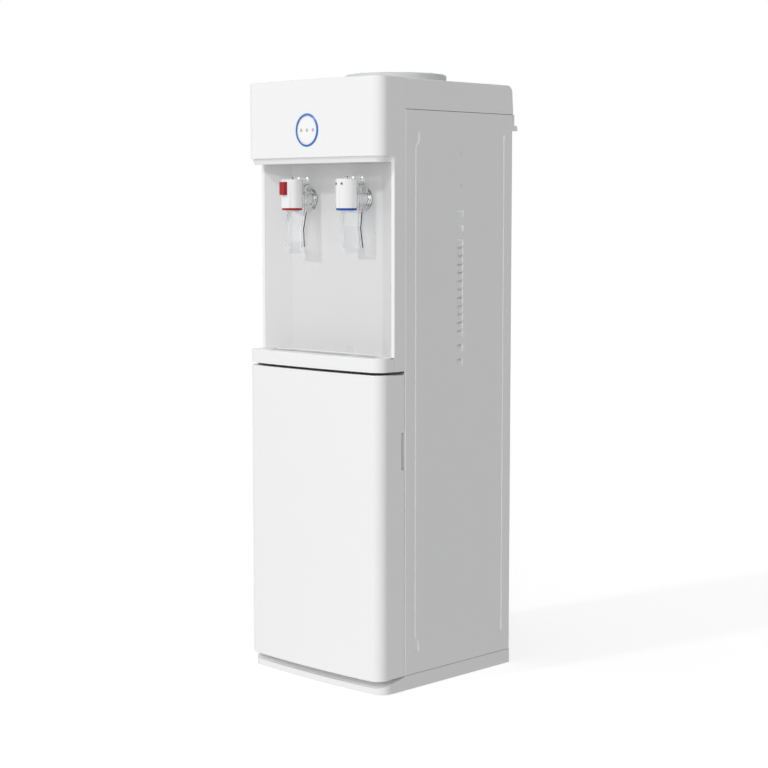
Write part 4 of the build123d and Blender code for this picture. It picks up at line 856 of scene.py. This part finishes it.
    @staticmethod
    def merge(whole: bmesh.types.BMesh, part: bmesh.types.BMesh) -> None:
        """Adds a part to a whole, and frees the part.

        Args:
            whole: The mesh that grows.
            part: The mesh that is added.
        """
        carrier = bpy.data.meshes.new("carrier")
        part.to_mesh(carrier)
        part.free()
        whole.from_mesh(carrier)
        bpy.data.meshes.remove(carrier)


@dataclass
class Front:
    """The front shell, its indicator, the niche, the tray and the grille.

    Attributes:
        shop: The workshop.
        lens_rise: The dome of the indicator's lens.
        lens_play: The gap between the lens and its ring.
        lens_rings: The number of steps from the lens's middle to its rim.
        spot_proud: How far a light spot stands out of the lens.
        ring_land: The flat on the crown of the indicator's ring.
        ring_slope: How far the ring falls away to its outer edge.
        ring_rise: How far the crown stands in front of the CAD ring.
        ring_reach: How far the crown reaches over the edge of the lens.
        spot_growth: The size of a light spot over its CAD size.
    """

    shop: Workshop
    lens_rise: float = 0.35 * MM
    lens_play: float = 0.2 * MM
    lens_rings: int = 6
    spot_proud: float = 0.05 * MM
    ring_land: float = 0.2 * MM
    ring_slope: float = 1.4 * MM
    ring_rise: float = 0.7 * MM
    ring_reach: float = 0.9 * MM
    spot_growth: float = 1.3

    def build(self) -> None:
        """Dresses the front mouldings."""
        self.shop.refine("front_shell", EdgeBreak(0.6 * MM, 3))
        self.shop.refine("niche_insert", NORMAL)
        self.shop.refine("tray_shelf", NORMAL)
        self.shop.refine("drip_tray", EdgeBreak(0.6 * MM, 3))
        self.shop.refine("drip_grille", EdgeBreak(0.35 * MM, 2))
        self.indicator()

    def indicator(self) -> None:
        """Builds the indicator's ring, its domed lens and the three light spots."""
        low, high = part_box("indicator_ring")
        centre = Vector(((low.x + high.x) / 2, 0, (low.z + high.z) / 2))
        outer = (high.x - low.x) / 2
        lens_low, lens_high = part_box("indicator_lens")
        inner = (lens_high.x - lens_low.x) / 2 + self.lens_play
        land, crown = self.ring_land, low.y - self.ring_rise
        seat = lens_low.y - self.ring_land / 2
        lip = inner - self.ring_reach
        ring = [
            (inner, high.y), (inner, seat), (lip, seat), (lip, crown + land),
            (lip + land, crown), (lip + 3 * land, crown), (outer, crown + self.ring_slope),
            (outer, high.y),
        ]
        self.shop.finish(
            turned(ring, centre, Y_AXIS, 96), "indicator_ring_skin", CABINET, "indicator_blue",
            ("indicator_ring",),
        )
        radius = (lens_high.x - lens_low.x) / 2
        shares = [step / self.lens_rings for step in range(self.lens_rings + 1)]
        dome = [(radius * share, lens_low.y + self.lens_rise * share**2) for share in shares]
        dome += [(radius, lens_high.y), (0, lens_high.y)]
        self.shop.finish(
            turned(dome, centre, Y_AXIS, 96), "indicator_lens_skin", CABINET, "lens_white",
            ("indicator_lens",),
        )
        spots = bmesh.new()
        for spot_low, spot_high in islands("light_pipes"):
            middle = (spot_low + spot_high) / 2
            start = Vector((middle.x, lens_low.y - self.spot_proud, middle.z))
            end = Vector((middle.x, spot_high.y, middle.z))
            rod(spots, start, end, self.spot_growth * (spot_high.x - spot_low.x) / 2, 24)
        self.shop.finish(spots, "light_pipes_skin", CABINET, "light_pipe", ("light_pipes",), FINE)


class Water(Enum):
    """The two kinds of water that a tap gives."""

    HOT = "hot"
    COLD = "cold"


@dataclass
class Tap:
    """One tap with its ring, its clear lever and its clear wall flange.

    Attributes:
        shop: The workshop.
        water: Which water it gives.
        flange_steps: Radius and thickness of each step of the wall flange.
        wall_sheet: The thickness of the niche's wall.
        flange_play: The gap between the flange and the neck and wall.
        neck_radius: The radius of the neck behind the body.
        neck_lap: How far the neck reaches into the body's mesh.
        bore: The radius of the water channel.
        shank_radius: The radius of the threaded shank inside the cabinet.
        thread_pitch: The pitch of the shank's thread.
        thread_depth: The depth of that thread.
        cut_back: How far in front of the wall the body's mesh ends.
        lever_edge: The bevel of the clear lever, whose faces get a painted dark line that stands for
            refraction.
        flange_edge: The bevel of each step of the clear flange, whose faces get a painted dark line that
            stands for refraction.
        hole_shade: Pitch, radius, drop below the tap's top and depth of the two dark discs, which are
            painted shade of two holes.
        hole_shade_proud: How far those dark discs stand out of the body.
        ring_inner: The inner radius of the coloured ring.
        ring_edge: The rounding of the ring's outer edge.
    """

    shop: Workshop
    water: Water
    flange_steps: tuple[tuple[float, float], ...] = (
        (19.0 * MM, 1.6 * MM), (16.4 * MM, 2.6 * MM), (13.6 * MM, 3.6 * MM),
    )
    wall_sheet: float = 2.5 * MM
    flange_play: float = 0.15 * MM
    neck_radius: float = 9.4 * MM
    neck_lap: float = 0.2 * MM
    bore: float = 3.0 * MM
    shank_radius: float = 7.0 * MM
    thread_pitch: float = 1.5 * MM
    thread_depth: float = 0.7 * MM
    cut_back: float = 4.3 * MM
    lever_edge: EdgeBreak = EdgeBreak(0.8 * MM, 1)
    flange_edge: EdgeBreak = EdgeBreak(0.5 * MM, 1)
    hole_shade: tuple[float, float, float, float] = (11.7 * MM, 2.0 * MM, 8.2 * MM, 3.0 * MM)
    hole_shade_proud: float = 0.1 * MM
    ring_inner: float = 11.05 * MM
    ring_edge: float = 0.7 * MM

    def build(self) -> None:
        """Builds the whole tap."""
        name = self.water.value
        body_name = f"{name}_tap_body"
        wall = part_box("niche_insert")[1].y - self.wall_sheet
        low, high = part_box(f"{name}_tap_ring")
        centre = Vector(((low.x + high.x) / 2, (low.y + high.y) / 2, high.z))
        self.shop.refine(body_name, FINE, lambda shape: self.trim(shape, wall))
        self.neck(name, centre, wall)
        self.ring(name, low, high)
        # The lever's bevels get the painted dark refraction line.
        self.shop.refine(f"{name}_lever", self.lever_edge, painted_edge_slot="painted_refraction_line")
        if self.water is Water.COLD:
            self.paint_hole_shades(centre)

    def trim(self, shape: bmesh.types.BMesh, wall: float) -> None:
        """Cuts the flange and the shank off the body, which get meshes of their own.

        Args:
            shape: The tap body's mesh.
            wall: The place of the niche's wall along Y.
        """
        cut = Vector((0, wall - self.cut_back, 0))
        bmesh.ops.bisect_plane(
            shape,
            geom=shape.verts[:] + shape.edges[:] + shape.faces[:],
            plane_co=cut,
            plane_no=Y_AXIS,
            clear_outer=True,
        )
        rims = [edge for edge in shape.edges if edge.is_boundary]
        bmesh.ops.holes_fill(shape, edges=rims, sides=0)

    def neck(self, name: str, centre: Vector, wall: float) -> None:
        """Builds the end of the neck with the threaded shank, and the clear flange.

        Args:
            name: The tap's name.
            centre: The tap's axis at the bottom of its body.
            wall: The place of the niche's wall along Y.
        """
        body_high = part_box(f"{name}_tap_body")[1]
        flange = self.flange_steps[0][0]
        middle = Vector((centre.x, wall, 0))
        middle.z = self.axis_height(name)
        bore = self.bore
        front = -self.cut_back - self.neck_lap
        shank = body_high.y - wall
        outline = [(bore, front), (self.neck_radius, front), (self.neck_radius, 0)]
        outline += [(self.shank_radius, 0), (self.shank_radius, self.thread_pitch)]
        crest, root = self.shank_radius, self.shank_radius - self.thread_depth
        place = self.thread_pitch
        while place + self.thread_pitch < shank:
            outline += [(root, place + self.thread_pitch / 2), (crest, place + self.thread_pitch)]
            place += self.thread_pitch
        outline += [(crest, shank), (bore, shank)]
        self.shop.finish(
            turned(outline, middle, Y_AXIS, 48), f"{name}_tap_shank", CABINET, "tap_white", (), FINE
        )
        gap = self.flange_play
        rings = [(self.neck_radius + gap, -gap), (flange, -gap)]
        for radius, thickness in self.flange_steps:
            rings += [(radius, rings[-1][1]), (radius, -thickness)]
        rings += [(self.neck_radius + gap, rings[-1][1])]
        shape = turned(rings[:2] + rings[3:], middle, Y_AXIS, 72)
        # The flange's bevels get the painted dark refraction line.
        self.shop.break_edges(shape, self.flange_edge, 1)
        self.shop.finish(
            shape, f"{name}_tap_flange", CABINET, "lever_clear", (), self.flange_edge, "painted_refraction_line"
        )

    @staticmethod
    def axis_height(name: str) -> float:
        """Finds the height of the shank's axis.

        Args:
            name: The tap's name.

        Returns:
            The height of the nut's middle, which sits on the shank.
        """
        nuts = islands("tap_nuts")
        low, high = nuts[0] if name == Water.HOT.value else nuts[-1]
        return (low.z + high.z) / 2

    def paint_hole_shades(self, centre: Vector) -> None:
        """Builds two dark discs high on the front of the cold tap, which are painted shade of two holes.

        Args:
            centre: The tap's axis at the bottom of its body.
        """
        pitch, radius, drop, depth = self.hole_shade
        low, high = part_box("cold_tap_body")
        body = centre.y - low.y
        height = high.z - drop
        shape = bmesh.new()
        for side in (-1, 1):
            away = side * pitch / 2
            face = centre.y - math.sqrt(body**2 - away**2)
            start = Vector((centre.x + away, face - self.hole_shade_proud, height))
            rod(shape, start, start + Y_AXIS * depth, radius, 24)
        # The dark discs paint the shade of two holes in the tap's front.
        self.shop.finish(shape, "cold_tap_hole_shades", CABINET, "stem_dark", (), FINE)

    def ring(self, name: str, low: Vector, high: Vector) -> None:
        """Builds the coloured ring under the body.

        Args:
            name: The tap's name.
            low: The CAD ring's lowest corner.
            high: The CAD ring's highest corner.
        """
        radius = (high.x - low.x) / 2
        inner, edge = self.ring_inner, self.ring_edge
        height = high.z - low.z
        outline = [
            (inner, edge / 2), (inner + edge / 2, 0), (radius - edge, 0),
            (radius - edge * 0.3, edge * 0.3), (radius, edge), (radius, height), (inner, height),
        ]
        centre = Vector(((low.x + high.x) / 2, (low.y + high.y) / 2, low.z))
        slot = self.shop.palette.slots[f"{name}_tap_ring"]
        self.shop.finish(
            turned(outline, centre, Z_AXIS, 72), f"{name}_tap_ring_skin", CABINET, slot,
            (f"{name}_tap_ring",),
        )


@dataclass
class BottleSeat:
    """The collar that takes an upturned bottle, with its feed probe.

    Attributes:
        shop: The workshop.
        collar_edge: The rounding of the collar's edges.
    """

    shop: Workshop
    collar_edge: EdgeBreak = EdgeBreak(0.9 * MM, 3)

    def build(self) -> None:
        """Builds the collar and the probe."""
        self.shop.refine("bottle_collar", self.collar_edge)
        self.shop.refine("feed_probe", NORMAL)


@dataclass
class Compartment:
    """The door, its gasket and catch, and the liner behind it.

    Attributes:
        shop: The workshop.
        gasket_groove: Border and depth of the groove along the gasket.
        panel_recess: Border and depth of the pressed field of the inner door.
    """

    shop: Workshop
    gasket_groove: tuple[float, float] = (2.4 * MM, 0.7 * MM)
    panel_recess: tuple[float, float] = (26.0 * MM, 0.9 * MM)

    def build(self) -> None:
        """Dresses the door and what lies behind it."""
        self.shop.refine("door_outer", EdgeBreak(0.5 * MM, 3))
        self.shop.refine("door_inner", NORMAL, self.press_field)
        self.shop.refine("door_gasket", FINE, self.groove)
        self.shop.refine("door_strike", FINE)
        self.shop.refine("storage_liner", SOFT)
        self.shop.refine("magnetic_catch", FINE)

    def groove(self, shape: bmesh.types.BMesh) -> None:
        """Sinks a groove along the gasket's sealing face.

        Args:
            shape: The gasket's mesh.
        """
        border, depth = self.gasket_groove
        faces = [face for face in shape.faces if face.normal.y > BACKWARD]
        bmesh.ops.inset_region(shape, faces=faces, thickness=border, depth=-depth)

    def press_field(self, shape: bmesh.types.BMesh) -> None:
        """Sinks a wide field into the back of the inner door.

        Args:
            shape: The inner door's mesh.
        """
        border, depth = self.panel_recess
        faces = [face for face in shape.faces if face.normal.y > BACKWARD]
        bmesh.ops.inset_region(shape, faces=faces, thickness=border, depth=0.0)
        bmesh.ops.inset_region(shape, faces=faces, thickness=2 * depth, depth=-depth)


@dataclass
class Machine:
    """The tanks, the tubes, the refrigeration and the fittings on the back.

    Attributes:
        shop: The workshop.
        mark_size: The height of the bar that marks a switch's upper wing.
        mark_line: The width of that bar.
        mark_thickness: The thickness of that bar.
        mark_rise: The bar's height over the rocker's middle, as a share of the rocker's height.
        tip_rise: How far a rocker's lower tip stands out of its upper wing.
        round_work: The nodes of tube and turned work, whose edges stay as they are.
        square_work: The nodes whose sharp edges are broken.
    """

    shop: Workshop
    mark_size: float = 4.0 * MM
    mark_line: float = 0.7 * MM
    mark_thickness: float = 0.2 * MM
    mark_rise: float = 0.28
    tip_rise: float = 2.3 * MM
    round_work: tuple[str, ...] = (
        "condenser", "refrigerant_lines", "cold_tube", "hot_tube", "hot_feed_tube", "drain_tube",
        "compressor", "cold_tank", "hot_tank", "evaporator", "heater_band", "hot_stem", "cold_stem",
        "lever_pins", "hinge_pins",
    )
    square_work: tuple[str, ...] = (
        "cord_gland", "drain_fitting", "drain_cap", "switch_frame", "hot_switch", "cold_switch",
        "child_lock_button", "tap_nuts", "control_board", "thermostats", "tank_frame",
        "cold_insulation", "hot_insulation", "partition", "compressor_grommets",
    )

    def build(self) -> None:
        """Dresses the machine."""
        smooth = EdgeBreak(0.0, sharp=math.radians(40))
        for name in self.round_work:
            self.shop.refine(name, smooth)
        for name in self.square_work:
            self.shop.refine(name, FINE)
        for name in ("hot_switch", "cold_switch"):
            self.marks(name)

    def marks(self, name: str) -> None:
        """Builds the bar on the upper wing of a rocker.

        Args:
            name: The switch's node.
        """
        low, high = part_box(name)
        centre_x = (low.x + high.x) / 2
        bar_z = (low.z + high.z) / 2 + (high.z - low.z) * self.mark_rise
        wing = high.y - self.tip_rise
        shape = bmesh.new()
        made = bmesh.ops.create_cube(shape, size=1.0)["verts"]
        size = Matrix.Diagonal((self.mark_line, self.mark_thickness, self.mark_size, 1))
        place = Matrix.Translation((centre_x, wing, bar_z))
        bmesh.ops.transform(shape, matrix=place @ size, verts=made)
        self.shop.finish(shape, name + "_mark", name, "tap_white", (), KEEP)


# ---------------------------------------------------------------- studio


@dataclass(frozen=True)
class Lamp:
    """One far lamp of the studio.

    Attributes:
        name: Its name.
        turn: How far it stands to the right of the front, in degrees.
        height: Its height over the horizon, in degrees.
        strength: Its strength.
        width: Its apparent width, in degrees.
    """

    name: str
    turn: float
    height: float
    strength: float
    width: float

    def hang(self) -> None:
        """Hangs the lamp and turns it to the cooler."""
        lamp = bpy.data.lights.new(self.name, "SUN")
        lamp.energy = self.strength
        lamp.angle = math.radians(self.width)
        holder = bpy.data.objects.new(self.name, lamp)
        turn, height = math.radians(self.turn), math.radians(self.height)
        level = math.cos(height)
        travel = Vector((-math.sin(turn) * level, math.cos(turn) * level, -math.sin(height)))
        holder.rotation_euler = travel.to_track_quat("-Z", "Y").to_euler()
        bpy.context.scene.collection.objects.link(holder)


@dataclass
class Studio:
    """The floor, the lamps and the camera.

    Attributes:
        camera_place: The camera's place, in metres.
        azimuth: The camera's turn from +Y towards -X, in degrees.
        pitch: Its tilt downwards, in degrees.
        lens: Its focal length, in millimetres.
        sensor: The width of its sensor, in millimetres.
        sight: How far it sees, in metres.
        ambient: The strength of the even light.
        lamps: The far lamps.
        floor_size: The side of the floor, in metres.
        floor_shade: The share of the floor's look that takes shadow.
        floor_glow: The share of the floor's look that is plain white.
    """

    camera_place: tuple[float, float, float] = (2.105931, -2.133104, 0.776338)
    azimuth: float = 44.528
    pitch: float = 5.6585
    lens: float = 83.874
    sensor: float = 36.0
    sight: float = 60.0
    ambient: float = 0.02
    lamps: tuple[Lamp, ...] = (
        Lamp("soft_box", 10.0, -4.0, 2.20, 178.0),
        Lamp("key_lamp", -12.0, 38.0, 0.72, 4.0),
        Lamp("side_lamp", 39.0, 17.0, 0.50, 5.0),
    )
    floor_size: float = 30.0
    floor_shade: Colour = (0.32, 0.32, 0.32)
    floor_glow: float = 0.84

    def build(self) -> None:
        """Builds the whole studio."""
        self.world()
        self.floor()
        for lamp in self.lamps:
            lamp.hang()
        self.camera()
        bpy.context.scene.view_settings.view_transform = "Standard"

    @staticmethod
    def seen(shop: NodeShop) -> Flow:
        """Tells direct sight from lighting.

        Args:
            shop: The node shop.

        Returns:
            1 for rays of the camera and rays that mirrors and clear pieces pass on.
        """
        path = shop.node("ShaderNodeLightPath")
        rays = [
            Flow(shop, path.outputs[name])
            for name in ("Is Camera Ray", "Is Glossy Ray", "Is Transmission Ray")
        ]
        return (rays[0] + rays[1] + rays[2]).above(0.5)

    def world(self) -> None:
        """Builds an even white world that looks plain white."""
        made = bpy.data.worlds.new("studio")
        bpy.context.scene.world = made
        made.use_nodes = True
        shop = NodeShop(made.node_tree)
        soft = shop.node("ShaderNodeBackground", None, {"Strength": self.ambient, "Color": (1, 1, 1, 1)})
        plain = shop.node("ShaderNodeBackground", None, {"Strength": 1.0, "Color": (1, 1, 1, 1)})
        mixed = shop.node(
            "ShaderNodeMixShader", None, {0: self.seen(shop), 1: soft.outputs[0], 2: plain.outputs[0]}
        )
        shop.node("ShaderNodeOutputWorld", None, {"Surface": mixed.outputs[0]})

    def floor(self) -> None:
        """Builds the pale floor, which keeps a soft shadow."""
        shape = bmesh.new()
        bmesh.ops.create_grid(shape, x_segments=1, y_segments=1, size=self.floor_size / 2)
        mesh = bpy.data.meshes.new("floor")
        shape.to_mesh(mesh)
        shape.free()
        floor = bpy.data.objects.new("floor", mesh)
        bpy.context.scene.collection.objects.link(floor)
        made = bpy.data.materials.new("floor")
        made.use_nodes = True
        shop = NodeShop(made.node_tree)
        passed = shop.node("ShaderNodeBsdfTransparent")
        shade = shop.node("ShaderNodeBsdfDiffuse", None, {"Color": (*self.floor_shade, 1)})
        glow = shop.node("ShaderNodeEmission", None, {"Strength": self.floor_glow})
        look = shop.node("ShaderNodeAddShader", None, {0: shade.outputs[0], 1: glow.outputs[0]})
        mixed = shop.node(
            "ShaderNodeMixShader", None, {0: self.seen(shop), 1: passed.outputs[0], 2: look.outputs[0]}
        )
        shop.node("ShaderNodeOutputMaterial", None, {"Surface": mixed.outputs[0]})
        mesh.materials.append(made)

    def camera(self) -> None:
        """Sets the camera where the photograph was taken."""
        lens = bpy.data.cameras.new("camera")
        lens.lens = self.lens
        lens.sensor_width = self.sensor
        lens.clip_end = self.sight
        holder = bpy.data.objects.new("camera", lens)
        holder.location = self.camera_place
        holder.rotation_euler = (math.radians(90 - self.pitch), 0, math.radians(self.azimuth))
        bpy.context.scene.collection.objects.link(holder)
        bpy.context.scene.camera = holder


def main() -> None:
    """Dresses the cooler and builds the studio."""
    logging.basicConfig(level=logging.INFO, format="%(name)s: %(message)s")
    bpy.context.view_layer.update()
    shop = Workshop(Palette())
    assemblies = [
        Casing(shop),
        Front(shop),
        BottleSeat(shop),
        Compartment(shop),
        Machine(shop),
        *(Tap(shop, water) for water in Water),
        Studio(),
    ]
    for assembly in assemblies:
        assembly.build()
        log.info("%s is done", type(assembly).__name__)


if __name__ == "__main__":
    main()
